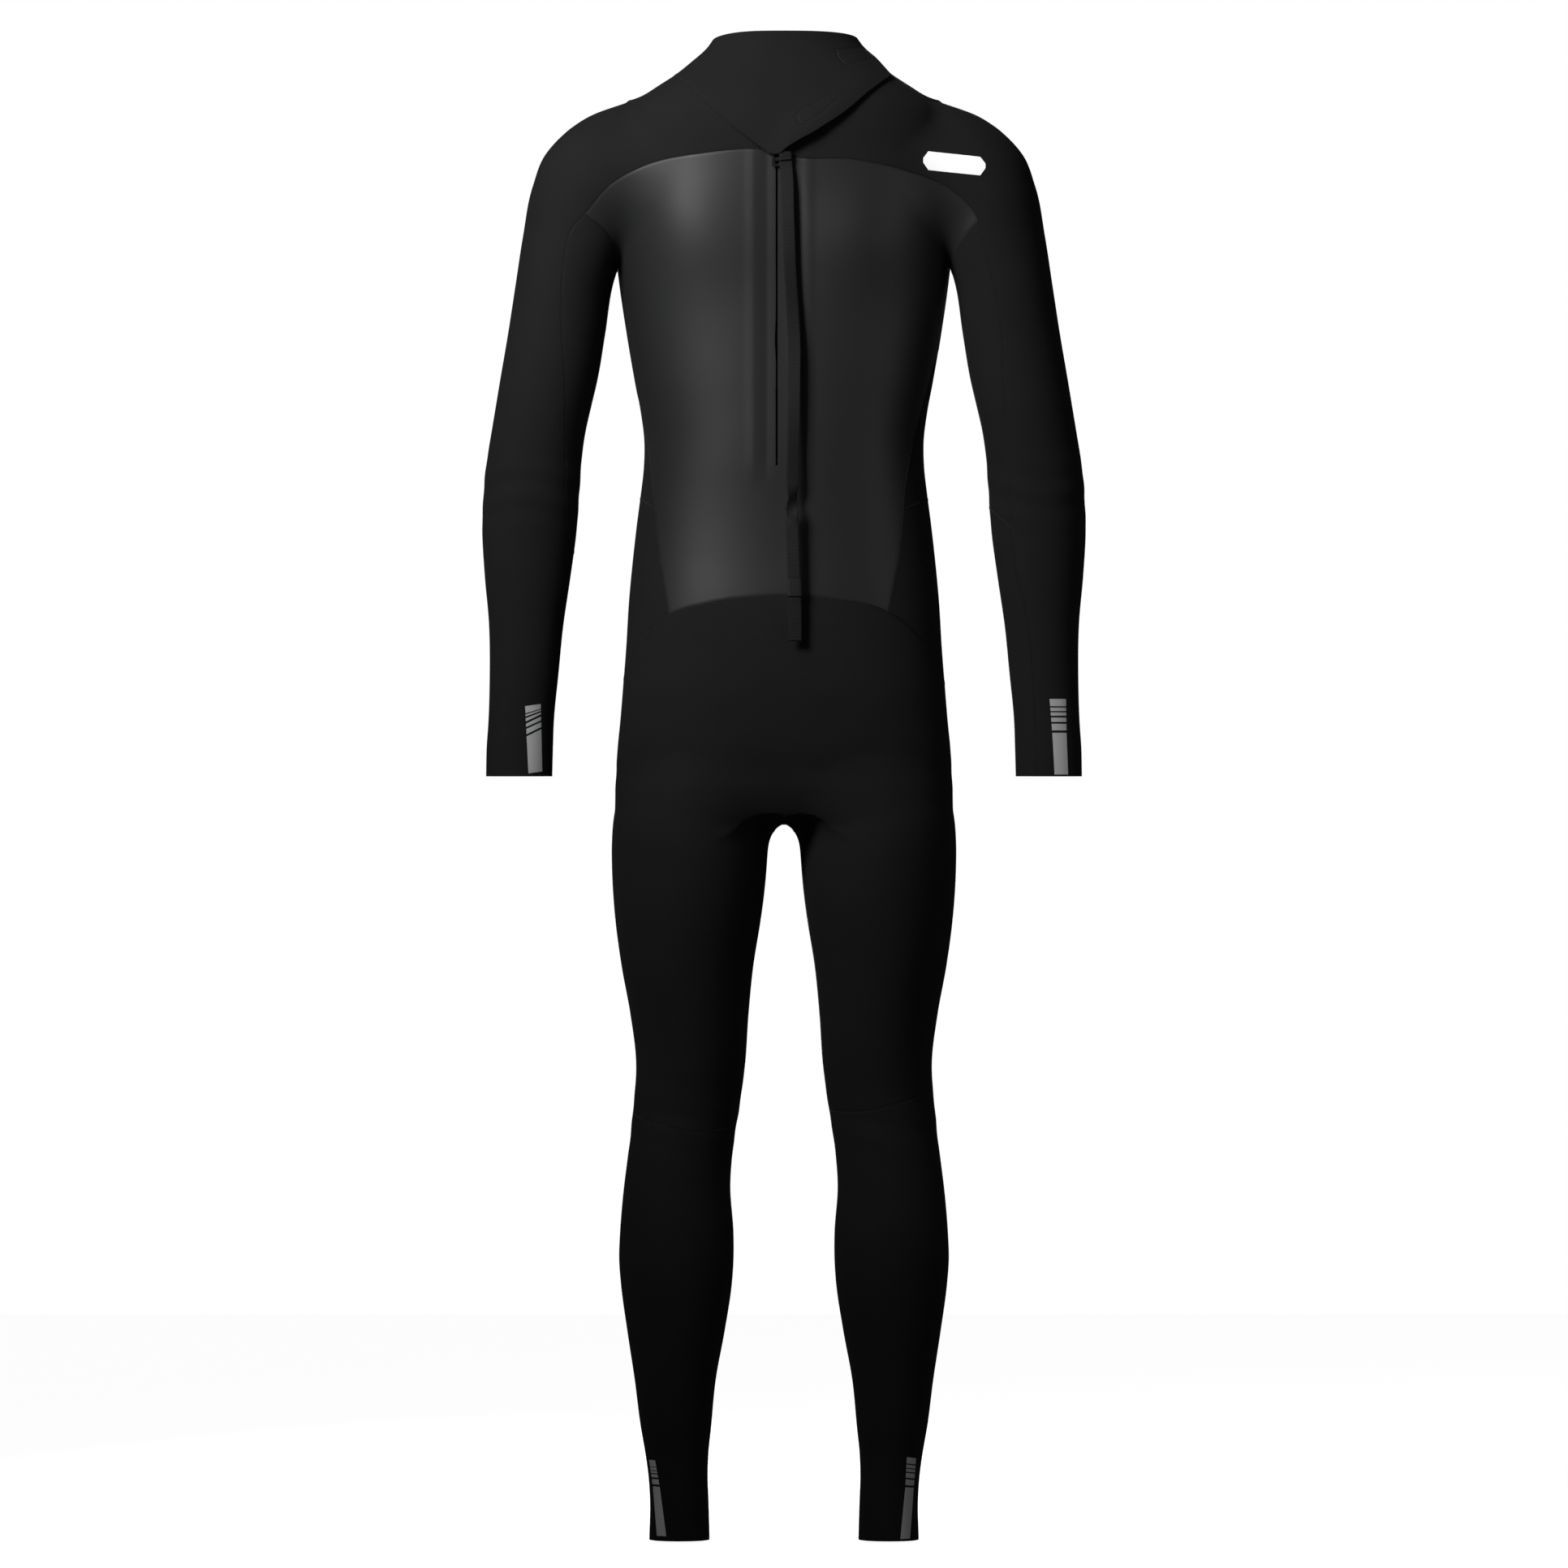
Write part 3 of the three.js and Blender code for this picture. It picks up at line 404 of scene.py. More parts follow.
def relief(points):
    """Height of the back's hills and hollows, the flap behind the zip and the limbs' soft creases."""
    x, y, z = points.T
    behind = 1 / (1 + np.exp(y / 0.012))
    height = sum(tall * hill(x, z, *place) for tall, *place in HILLS)
    along_zip = 1 / (1 + np.exp((ZIP_RIDGE_FOOT - z) / 0.006)) / (1 + np.exp((z - ZIP_RIDGE_TOP) / 0.006))
    for tall, place, reach in ZIP_RIDGES:
        height += tall * along_zip * np.exp(-(((x - place) / reach) ** 2))
    folds = np.sin(z * 210 + 3 * np.sin(x * 31)) * hill(0, z, 0, ELBOW, 1, 0.030) * (np.abs(x) > 0.17)
    folds += np.sin(z * 190 + x * 40) * hill(0, z, 0, KNEE, 1, 0.030) * (np.abs(x) < 0.17) * (z < 0.6)
    return behind * (height + 0.0005 * folds)


def form(points):
    """How far points lie outside the worn shape."""
    z = points[:, 2]
    body = np.maximum(tube_distance(points, trunk_rows, 1, TRUNK_FULLNESS), TRUNK_FOOT - z)
    legs = []
    for side in (-1, 1):
        arm = np.maximum(tube_distance(points, arm_rows, side, LIMB_FULLNESS), z - ARM_TOP)
        body = joined(body, arm, shoulder_fillet(z)[:, 0])
        legs.append(np.maximum(tube_distance(points, leg_rows, side, LIMB_FULLNESS), z - LEG_TOP))
    toward_hip = np.clip((np.abs(points[:, 0]) - HIP_FROM) / (HIP_TO - HIP_FROM), 0, 1)
    seat_to_hip = SEAT_FILLET + (HIP_FILLET - SEAT_FILLET) * toward_hip
    return joined(body, joined(*legs, CROTCH_FILLET), seat_to_hip) - relief(points)


def slope(points, step=0.001):
    columns = []
    for axis in range(3):
        shift = np.zeros(3)
        shift[axis] = step
        columns.append((form(points + shift) - form(points - shift)) / (2 * step))
    return np.column_stack(columns)


def outward(points):
    normals = slope(points)
    return normals / np.maximum(np.linalg.norm(normals, axis=1), 1e-9)[:, None]


def onto_form(points, rounds=5):
    for _ in range(rounds):
        gradient = slope(points)
        steep = np.maximum((gradient**2).sum(axis=1), 0.05)
        points = points - np.clip(form(points) / steep, -0.004, 0.004)[:, None] * gradient
    return points


VOXEL = 0.0042
OVERRUN = 0.012


def loft(rows, side, low, high, fullness, around=72, grow=-0.0045):
    """A closed tube a little inside the form, for the joining of the whole suit."""
    heights = np.linspace(low, high, int((high - low) / 0.008))
    outer, inner, back, front = rows(heights).T
    points, faces = [], []
    for i, z in enumerate(heights):
        for j in range(around):
            c, s = math.cos(2 * math.pi * j / around), math.sin(2 * math.pi * j / around)
            across = math.copysign(abs(c) ** (2 / fullness), c) * ((outer[i] - inner[i]) / 2 + grow)
            depth = math.copysign(abs(s) ** (2 / fullness), s) * ((front[i] - back[i]) / 2 + grow)
            points.append((side * (outer[i] + inner[i]) / 2 + across, (back[i] + front[i]) / 2 + depth, z))
    for i in range(len(heights) - 1):
        for j in range(around):
            a, b = i * around + j, i * around + (j + 1) % around
            faces.append((a, b, b + around, a + around))
    faces.append(list(range(around))[::-1])
    faces.append([(len(heights) - 1) * around + j for j in range(around)])
    return points, faces


all_points, all_faces = [], []
tubes = [loft(trunk_rows, 1, 0.690, COLLAR_RIM + OVERRUN, TRUNK_FULLNESS)]
for side in (-1, 1):
    tubes.append(loft(arm_rows, side, WRIST_HEM - OVERRUN, 1.390, LIMB_FULLNESS))
    tubes.append(loft(leg_rows, side, -OVERRUN, 0.765, LIMB_FULLNESS))
for points, faces in tubes:
    start = len(all_points)
    all_points += points
    all_faces += [[start + i for i in face] for face in faces]
blank = plain_material("blank", (0.5, 0.5, 0.5), 0.5)
whole = mesh_object("whole", all_points, all_faces, blank)
remesh = whole.modifiers.new("remesh", "REMESH")
remesh.mode = "VOXEL"
remesh.voxel_size = VOXEL
evaluated = whole.evaluated_get(bpy.context.evaluated_depsgraph_get())
skin = bmesh.new()
skin.from_mesh(evaluated.to_mesh())
bpy.data.objects.remove(whole)


def co_of(mesh):
    return np.array([v.co[:] for v in mesh.verts])


def put_back(mesh, points):
    for v, p in zip(mesh.verts, points):
        v.co = p


def relaxed(mesh, points, rounds):
    ends = np.array([(e.verts[0].index, e.verts[1].index) for e in mesh.edges])
    count = np.bincount(ends.ravel(), minlength=len(points))[:, None]
    for _ in range(rounds):
        total = np.zeros_like(points)
        np.add.at(total, ends[:, 0], points[ends[:, 1]])
        np.add.at(total, ends[:, 1], points[ends[:, 0]])
        points = points * 0.5 + total / count * 0.5
    return points


skin.verts.index_update()
skin_points = onto_form(co_of(skin), 4)
for _ in range(2):
    skin_points = onto_form(relaxed(skin, skin_points, 3), 3)
put_back(skin, skin_points)

# Hems are trimmed square at the ankles and wrists, and the collar's rim drops to the front.
RIM_DROP = 14 / 120
HEM_TRIM = 0.0002


def trim(mesh, place, normal, keep):
    faces = [f for f in mesh.faces if keep(f.calc_center_median())]
    edges = {e for f in faces for e in f.edges}
    verts = {v for f in faces for v in f.verts}
    bmesh.ops.bisect_plane(
        mesh, geom=faces + list(edges) + list(verts), plane_co=place, plane_no=normal, clear_outer=True
    )


trim(skin, (0, 0, HEM_TRIM), (0, 0, -1), lambda c: c.z < 0.1)
trim(skin, (0, 0, WRIST_HEM + HEM_TRIM), (0, 0, -1), lambda c: abs(c.x) > 0.2 and c.z < 0.8)
trim(skin, (0, -0.058, 1.4563), (0, RIM_DROP, 1), lambda c: c.z > 1.40)

# Seams, as points across and up in millimetres, and the side of the suit that bears them
LEFT_TIP = (-191, 1280)
RIGHT_TIP = (187, 1274)
SEAMS = {
    "yoke": ([LEFT_TIP, (-168, 1307), (-136, 1325), (-79, 1337), (-7, 1338), (6, 1334), (67, 1331),
              (120, 1320), (161, 1303), (181, 1284), RIGHT_TIP], "through"),
    "left armpit": ([LEFT_TIP, (-168, 1258), (-162.5, 1242), (-161.7, 1228), (-162, 1205)], "through"),
    "right armpit": ([RIGHT_TIP, (173, 1258), (164, 1242), (162.5, 1228), (162, 1205)], "through"),
    "left sleeve": ([LEFT_TIP, (-204, 1266), (-212, 1229), (-214, 1181), (-211, 1128), (-210, 1053),
                     (-205, 960), (-197, 935)], "through"),
    "right sleeve": ([RIGHT_TIP, (194, 1246), (203, 1209), (210, 1169), (212, 1115), (216, 1046),
                      (224, 935), (233, 899), (243, 797), (244, 730)], "through"),
    "right elbow": ([(190, 1007), (204, 993), (223.5, 974)], "through"),
    "left panel side": ([(-155, 1160), (-136, 1082), (-128, 1033), (-124, 996), (-119, 948),
                         (-110, 892)], "through"),
    "right panel side": ([(160, 1187), (147, 1143), (133, 1094), (122.5, 1053), (116, 1013), (111.5, 960),
                          (98.5, 894)], "through"),
    "left hip": ([(-109, 899), (-122, 840), (-145, 786)], "front"),
    "right hip": ([(98, 900), (116, 842), (145, 786)], "front"),
    "left waist": ([(-150, 1014), (-135, 1004), (-121, 994)], "through"),
    "right waist": ([(110, 993), (126, 1000), (150, 1011)], "through"),
    "chest hem": ([(-126, 997), (-60, 984), (0, 980), (60, 984), (118, 996)], "front"),
    "seat": ([(-166, 800), (-154, 835), (-138, 869), (-112, 894), (-75, 905), (-34, 911), (2, 913),
              (47, 909), (100, 896.5), (131, 871), (151, 838), (166, 800)], "back"),
    "left groin": ([(-168, 808), (-120, 768), (-60, 720), (-2, 680)], "front"),
    "right groin": ([(168, 808), (120, 768), (60, 720), (2, 680)], "front"),
    "left knee": ([(-158, 418), (-142, 410), (-116, 402), (-87.5, 396), (-61.5, 397.5),
                   (-30, 402)], "back"),
    "right knee": ([(30, 412), (47, 414), (82, 416), (106, 422), (128, 428), (158, 444)], "back"),
    "front centre": ([(0, 1318), (0, 1378)], "front"),
    "left knee top": ([(-170, 480), (-20, 480)], "front"),
    "right knee top": ([(20, 480), (170, 480)], "front"),
    "left knee foot": ([(-170, 330), (-20, 330)], "front"),
    "right knee foot": ([(20, 330), (170, 330)], "front"),
}
# The collar's seam dips to the zip behind and to the throat in front, at these heights across
COLLAR_BACK = [(-140, 1450), (-118, 1430), (-105, 1417), (-79, 1392), (-54, 1367), (-35, 1352), (-4, 1336),
               (8, 1350), (35, 1368), (60, 1391), (80, 1412), (97, 1424), (118, 1432), (140, 1450)]
COLLAR_FRONT = [(-140, 1450), (-118, 1430), (-100, 1411), (-75, 1391), (-40, 1376), (0, 1371), (40, 1376),
                (75, 1391), (100, 1411), (118, 1430), (140, 1450)]
# Cuts without thread: the thigh backs' joint above the knees, and both sides and the foot of the slit
PLAIN_CUTS = {
    "thigh backs": ([(-175, 480), (175, 480)], "back"),
    "slit left": ([(-8, 1356), (-8, 1250), (-8, 1180), (-8.6, 1152), (-7.9, 1140), (-8, 1110),
                   (-8, 1035.5)], "back"),
    "slit right": ([(-6.1, 1356), (-6.1, 1200), (-6.1, 1035.5)], "back"),
    "slit foot": ([(-12, 1037), (-2, 1037)], "back"),
}
# Straight seams down the sides, each from and to a place across and up, in metres
SIDE_SEAMS = [(-0.175, 0.175, -0.01, 0.852), (-0.178, -0.1, 1.060, 1.252), (0.1, 0.178, 1.118, 1.252)]


def drawn(points, step=0.003):
    """A smooth line through points, in metres, with a point every few millimetres."""
    points = np.array(points, float) / 1000
    travelled = np.concatenate([[0], np.cumsum(np.linalg.norm(np.diff(points, axis=0), axis=1))])
    if len(points) > 2:
        slopes = np.gradient(points, travelled, axis=0)
    else:
        slopes = np.repeat((points[1:] - points[:1]) / travelled[-1], 2, axis=0)
    wanted = np.linspace(0, travelled[-1], max(int(travelled[-1] / step), 2))
    i = np.clip(np.searchsorted(travelled, wanted) - 1, 0, len(points) - 2)
    gap = (travelled[i + 1] - travelled[i])[:, None]
    t = np.clip((wanted - travelled[i])[:, None] / gap, 0, 1)
    low = (1 + 2 * t) * (1 - t) ** 2 * points[i] + t * (1 - t) ** 2 * gap * slopes[i]
    return low + t * t * (3 - 2 * t) * points[i + 1] + t * t * (t - 1) * gap * slopes[i + 1]


def beside(line, points, reach=0.02):
    """Signed distance to a line that runs on past its ends, and the distance along it.
    Both are not a number beyond the line's reach."""
    near = np.all((points > line.min(0) - reach) & (points < line.max(0) + reach), axis=1)
    across, along = np.full(len(points), np.nan), np.full(len(points), np.nan)
    if not near.any():
        return across, along
    before = line[0] + (line[0] - line[1]) / np.linalg.norm(line[0] - line[1]) * reach
    after = line[-1] + (line[-1] - line[-2]) / np.linalg.norm(line[-1] - line[-2]) * reach
    line = np.concatenate([[before], line, [after]])
    starts, steps = line[:-1], np.diff(line, axis=0)
    lengths = np.linalg.norm(steps, axis=1)
    apart = points[near][:, None] - starts[None]
    t = (apart * steps[None]).sum(2) / lengths**2
    held = np.clip(t, 0, 1)
    gaps = apart - held[..., None] * steps[None]
    square = (gaps**2).sum(2)
    best = square.argmin(1)
    rows = np.arange(len(best))
    side = np.sign(steps[best, 0] * apart[rows, best, 1] - steps[best, 1] * apart[rows, best, 0])
    signed = side * np.sqrt(square[rows, best])
    past = (best == 0) & (t[rows, best] < 0) | (best == len(starts) - 1) & (t[rows, best] > 1)
    travelled = np.concatenate([[0], np.cumsum(lengths)])
    signed[past | (np.abs(signed) > reach)] = np.nan
    across[near] = signed
    along[near] = travelled[best] + held[rows, best] * lengths[best] - reach
    return across, along


PAST_END = 0.008


def cut(mesh, measure, layer, mark, length=None):
    """Cuts the mesh where the measure changes sign, within the seam's length, and marks the edges."""
    mesh.verts.index_update()
    values, along = measure(co_of(mesh))
    fresh = []
    for edge in list(mesh.edges):
        i, j = edge.verts[0].index, edge.verts[1].index
        a, b = values[i], values[j]
        if not a * b < 0:
            continue
        part = a / (a - b)
        if length is None or -PAST_END < along[i] + (along[j] - along[i]) * part < length + PAST_END:
            fresh.append(bmesh.utils.edge_split(edge, edge.verts[0], min(max(part, 0.001), 0.999))[1])
    for edge in bmesh.ops.connect_verts(mesh, verts=fresh)["edges"]:
        edge[layer] = mark


def where_ok(where, points):
    if where == "back":
        return points[:, 1] < 0.004
    if where == "front":
        return points[:, 1] > -0.004
    return np.ones(len(points), bool)


SEWN, PLAIN = 1, 2
mark_layer = skin.edges.layers.int.new("seam")
for number, (points, where) in enumerate([*SEAMS.values(), *PLAIN_CUTS.values()]):
    line = drawn(points)

    def measure(places):
        across, along = beside(line, places[:, [0, 2]])
        return np.where(where_ok(where, places), across, np.nan), along

    seam_length = np.linalg.norm(np.diff(line, axis=0), axis=1).sum()
    cut(skin, measure, mark_layer, SEWN if number < len(SEAMS) else PLAIN, seam_length)
for x0, x1, z0, z1 in SIDE_SEAMS:

    def measure(places):
        x, y, z = places.T
        fits = (x > x0) & (x < x1) & (z > z0) & (z < z1) & (np.abs(y) < 0.02)
        return np.where(fits, y, np.nan), z

    cut(skin, measure, mark_layer, SEWN)

collar_back = table(COLLAR_BACK)
collar_front = table(COLLAR_FRONT)


def collar_measure(places):
    x, y, z = places.T
    behind, ahead = collar_back(x)[:, 0], collar_front(x)[:, 0]
    share = np.clip((y + 0.025) / 0.04, 0, 1)
    return np.where((np.abs(x) < 0.135) & (z > 1.3), z - behind - (ahead - behind) * share, np.nan), z


cut(skin, collar_measure, mark_layer, SEWN)

# Cuts that ran past the seam they meet are closed again, back to that seam.
loose = [v for v in skin.verts if sum(e[mark_layer] > 0 for e in v.link_edges) == 1 and not v.is_boundary]
while loose:
    vert = loose.pop()
    marked = [e for e in vert.link_edges if e[mark_layer]]
    if len(marked) == 1:
        marked[0][mark_layer] = 0
        other = marked[0].other_vert(vert)
        if not other.is_boundary:
            loose.append(other)

# Panels between the seams, each found from a point on it: name, x, z, back or front, slot, wall,
# the CAD nodes it stands for, and the body it rides on or the limb it bends with.
LEFT_ARM = ("suit", "left_forearm", (-0.243, 0, 1.080), (-0.243, 0, 0.950))
RIGHT_ARM = ("suit", "right_forearm", (0.243, 0, 1.080), (0.243, 0, 0.950))
LEFT_LEG = ("suit", "left_shin", (-0.095, 0, 0.480), (-0.095, 0, 0.330))
RIGHT_LEG = ("suit", "right_shin", (0.095, 0, 0.480), (0.095, 0, 0.330))
PANELS = [
    ("back_panel_skin", -60, 1200, "back", "smooth_skin", BODY_WALL, ["back_panel"], "suit"),
    ("chest_panel_skin", 60, 1200, "front", "smooth_skin", BODY_WALL, ["chest_panel"], "suit"),
    ("front_panel_jersey", 0, 860, "front", "jersey", BODY_WALL, ["front_panel"], "suit"),
    ("left_upper_side_jersey", -132, 1030, "back", "jersey", BODY_WALL, ["left_upper_side_panel"], "suit"),
    ("right_upper_side_jersey", 130, 1050, "back", "jersey", BODY_WALL, ["right_upper_side_panel"], "suit"),
    ("left_lower_side_jersey", -137, 930, "back", "jersey", BODY_WALL, ["left_lower_side_panel"], "suit"),
    ("right_lower_side_jersey", 137, 930, "back", "jersey", BODY_WALL, ["right_lower_side_panel"], "suit"),
    ("seat_jersey", -60, 800, "back", "jersey", BODY_WALL, ["seat_panel"], "suit"),
    ("collar_jersey", 0, 1425, "front", "jersey", BODY_WALL, ["collar"], "suit"),
    ("left_sleeve_jersey", -235, 1200, "back", "jersey", LIMB_WALL,
     ["left_yoke_sleeve", "left_elbow_outer", "left_forearm"], LEFT_ARM),
    ("right_sleeve_jersey", 235, 1200, "back", "jersey", LIMB_WALL,
     ["right_yoke_sleeve", "right_elbow_outer", "right_forearm_outer"], RIGHT_ARM),
    ("left_underarm_jersey", -195, 1150, "back", "jersey", LIMB_WALL,
     ["left_underarm_panel", "left_elbow_inner"], LEFT_ARM),
    ("right_underarm_jersey", 195, 1150, "back", "jersey", LIMB_WALL,
     ["right_underarm_panel", "right_elbow_inner_upper"], RIGHT_ARM),
    ("right_forearm_inner_jersey", 226, 850, "back", "jersey", LIMB_WALL,
     ["right_elbow_inner_lower", "right_forearm_inner"], RIGHT_ARM),
]
for side, x, bend in (("left", -95, LEFT_LEG), ("right", 95, RIGHT_LEG)):
    for part, up, where, nodes_for, moves in (
        ("_thigh_front", 560, "front", ["_thigh_front"], "suit"),
        ("_knee_pad", 405, "front", ["_knee_pad"], bend),
        ("_shin", 200, "front", ["_shin_panel"], side + "_shin"),
        ("_knee_back", 455, "back", ["_knee_back_upper"], bend),
        ("_calf", 200, "back", ["_knee_back_lower", "_calf_panel"], bend),
    ):
        nodes_for = [side + node for node in nodes_for]
        PANELS.append((side + part + "_jersey", x, up, where, "jersey", LIMB_WALL, nodes_for, moves))

skin.faces.index_update()
skin.verts.index_update()
skin.faces.ensure_lookup_table()
label = np.full(len(skin.faces), -1)
regions = 0
for face in skin.faces:
    if label[face.index] >= 0:
        continue
    label[face.index] = regions
    stack = [face]
    while stack:
        for edge in stack.pop().edges:
            if edge[mark_layer]:
                continue
            for other in edge.link_faces:
                if label[other.index] < 0:
                    label[other.index] = regions
                    stack.append(other)
    regions += 1
centres = np.array([f.calc_center_median()[:] for f in skin.faces])


def label_at(x, z, ahead):
    gap = np.hypot(centres[:, 0] - x / 1000, centres[:, 2] - z / 1000)
    gap[(centres[:, 1] > 0) != ahead] = 9
    return label[gap.argmin()]


# Slivers beside a seam's end join the panel that they share most edges with. The slit stays open.
SLIVER_FACES = 90
sizes = np.bincount(label)
open_slit = label_at(-7, 1200, False)
for sliver in np.nonzero(sizes < SLIVER_FACES)[0]:
    votes = {}
    members = np.nonzero(label == sliver)[0]
    for i in members:
        for edge in skin.faces[i].edges:
            for other in edge.link_faces:
                if label[other.index] not in (sliver, open_slit):
                    votes[label[other.index]] = votes.get(label[other.index], 0) + 1
    if votes and sliver != open_slit:
        label[members] = max(votes, key=votes.get)
skin_co = co_of(skin)
skin_normals = outward(skin_co)
sewn_points = [v.co.copy() for v in skin.verts if any(e[mark_layer] == SEWN for e in v.link_edges)]
seam_tree = KDTree(len(sewn_points))
for point in sewn_points:
    seam_tree.insert(point, 0)
seam_tree.balance()
seam_gap = np.array([seam_tree.find(Vector(p))[2] for p in skin_co])


def thick(name, faces, points, normals, wall, material, marks=None, out=0.0, raw_edge=None):
    """A sheet with its thickness built inwards, shaded with the worn shape's own normals."""
    used = sorted({i for face in faces for i in face})
    new = {old: i for i, old in enumerate(used)}
    count = len(used)
    away = np.broadcast_to(out, len(points))[used][:, None]
    outer = points[used] + normals[used] * away
    inner = outer - normals[used] * wall
    faces = [[new[i] for i in face] for face in faces]
    sides = {(a, b) for face in faces for a, b in zip(face, face[1:] + face[:1])}
    rim = sorted((a, b) for a, b in sides if (b, a) not in sides)
    every = [list(f) for f in faces]
    every += [[i + count for i in f][::-1] for f in faces]
    every += [[b, a, a + count, b + count] for a, b in rim]
    made = mesh_object(name, np.concatenate([outer, inner]), every, material)
    shades = np.concatenate([normals[used], -normals[used]])
    corner_normals = shades[[corner.vertex_index for corner in made.data.loops]]
    for polygon in list(made.data.polygons)[2 * len(faces) :]:
        corner_normals[list(polygon.loop_indices)] = polygon.normal
        if raw_edge and polygon.center.x > raw_edge[1]:
            polygon.material_index = 1
    if raw_edge:
        made.data.materials.append(raw_edge[0])
    made.data.normals_split_custom_set([tuple(n) for n in corner_normals])
    gap = np.concatenate([marks[used], np.full(count, 1.0)]) if marks is not None else np.ones(2 * count)
    made.data.attributes.new("seam_gap", "FLOAT", "POINT").data.foreach_set("value", gap.astype(np.float32))
    return made


# The pressed line of a seam, as a height read from the distance to it
seam_takes = {"Half Width": "Float"}
seam_effect, seam_in, seam_out = effect("sewn seam", seam_takes, {"Height": "Float"})
gap_value = seam_effect.nodes.new("ShaderNodeAttribute")
gap_value.attribute_name = "seam_gap"
share = seam_effect.nodes.new("ShaderNodeMath")
share.operation = "DIVIDE"
share.use_clamp = True
eased = seam_effect.nodes.new("ShaderNodeMath")
eased.operation = "SMOOTH_MIN"
eased.inputs[1].default_value = 1
eased.inputs[2].default_value = 0.6
seam_effect.links.new(gap_value.outputs["Fac"], share.inputs[0])
seam_effect.links.new(seam_in.outputs["Half Width"], share.inputs[1])
seam_effect.links.new(share.outputs[0], eased.inputs[0])
seam_effect.links.new(eased.outputs[0], seam_out.inputs["Height"])
# Cloudy change of a tint, lighter and darker by the share that it is given
mottle_takes = {"Color": "Color", "Share": "Float"}
mottle_effect, mottle_in, mottle_out = effect("mottled tint", mottle_takes, {"Color": "Color"})
cloud_place = mottle_effect.nodes.new("ShaderNodeTexCoord")
cloud = mottle_effect.nodes.new("ShaderNodeTexNoise")
cloud.inputs["Scale"].default_value = 7
cloud.inputs["Detail"].default_value = 4
swing = mottle_effect.nodes.new("ShaderNodeMapRange")
for socket, value in (("From Min", 0.3), ("From Max", 0.7), ("To Min", -1), ("To Max", 1)):
    swing.inputs[socket].default_value = value
factor = mottle_effect.nodes.new("ShaderNodeMath")
factor.operation = "MULTIPLY_ADD"
factor.inputs[2].default_value = 1
tinted = mottle_effect.nodes.new("ShaderNodeVectorMath")
tinted.operation = "SCALE"
for start, end in (
    (cloud_place.outputs["Object"], cloud.inputs["Vector"]),
    (cloud.outputs["Fac"], swing.inputs["Value"]),
    (swing.outputs["Result"], factor.inputs[0]),
    (mottle_in.outputs["Share"], factor.inputs[1]),
    (factor.outputs[0], tinted.inputs["Scale"]),
    (mottle_in.outputs["Color"], tinted.inputs[0]),
    (tinted.outputs["Vector"], mottle_out.inputs["Color"]),
):
    mottle_effect.links.new(start, end)
SEAM_HALF_WIDTH = 0.0022


def neoprene(name, colour, roughness, sheen, specular, grain_scale, grain_depth, groove, mottle):
    """A neoprene face: a tint with slight mottling, fine grain and pressed seams."""
    material = plain_material(name, colour, roughness, sheen=sheen, specular=specular)
    grain = add_grain(material, grain_scale, 0.6, grain_depth)
    nodes, links = material.node_tree.nodes, material.node_tree.links
    shader = nodes["Principled BSDF"]
    seam = placed(material, seam_effect)
    seam.inputs["Half Width"].default_value = SEAM_HALF_WIDTH
    tint = placed(material, mottle_effect, Color=(*colour, 1), Share=mottle)
    press = nodes.new("ShaderNodeBump")
    press.inputs["Distance"].default_value = groove
    links.new(seam.outputs["Height"], press.inputs["Height"])
    links.new(grain.outputs["Normal"], press.inputs["Normal"])
    links.new(press.outputs["Normal"], shader.inputs["Normal"])
    links.new(tint.outputs["Color"], shader.inputs["Base Color"])
    return material


jersey = neoprene("jersey", (0.0165, 0.0165, 0.0168), 0.85, 0.012, 0.1, 1500, 0.00012, 0.0006, 0.12)
smooth_skin = neoprene("smooth_skin", (0.021, 0.0213, 0.0216), 0.46, 0.0, 0.4, 2200, 0.00006, 0.0002, 0.06)
panel_materials = {"jersey": jersey, "smooth_skin": smooth_skin}
face_list = [[v.index for v in f.verts] for f in skin.faces]
# The collar steps in under the neck flap, as far back as the flap reaches.
COLLAR_INSET = 0.0024
collar_step = -COLLAR_INSET * np.clip((0.014 - skin_co[:, 1]) / 0.012, 0, 1)
for name, x, z, where, slot, wall, nodes_for, moves in PANELS:
    chosen = label_at(x, z, where == "front")
    faces = [face_list[i] for i in np.nonzero(label == chosen)[0]]
    step = collar_step if name == "collar_jersey" else 0.0
    panel = thick(name, faces, skin_co, skin_normals, wall, panel_materials[slot], seam_gap, step)
    if isinstance(moves, str):
        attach(panel, moves)
    else:
        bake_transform(panel)
    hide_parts(*nodes_for)

# Neck closure flap. One piece of jersey neoprene 2 mm thick, sewn along its left to the yoke. It
# crosses the neck above the zip, stands off at its free edge and bears two sewn-on hook patches.
FLAP_WALL = 0.002
FLAP_RISE = 0.0028
FLAP_STANDOFF = 0.0085
FLAP_WRAP = 0.006
FLAP_EDGE = [(-140, 1450), (-118, 1430), (-105, 1417), (-79, 1392), (-54, 1367), (-35, 1352), (-4, 1337),
             (3, 1342.5), (33, 1360), (67.5, 1384), (80, 1395), (97, 1409), (110, 1419), (130, 1436)]
# The flap's free end is a slanted edge through this point, and past FOAM_EDGE_X the cut foam shows
END_X, END_Z, END_SLANT = 0.099, 1.416, 1.2
FOAM_EDGE_X = 0.082
UPPER_PATCH = [(48, 1437), (75, 1440), (82, 1428), (57, 1421)]
LOWER_PATCH = [(10, 1373), (42, 1391), (53, 1387), (17, 1361)]
flap_edge = table(FLAP_EDGE)


def smooth_step(value, low, high):
    t = np.clip((value - low) / (high - low), 0, 1)
    return t * t * (3 - 2 * t)


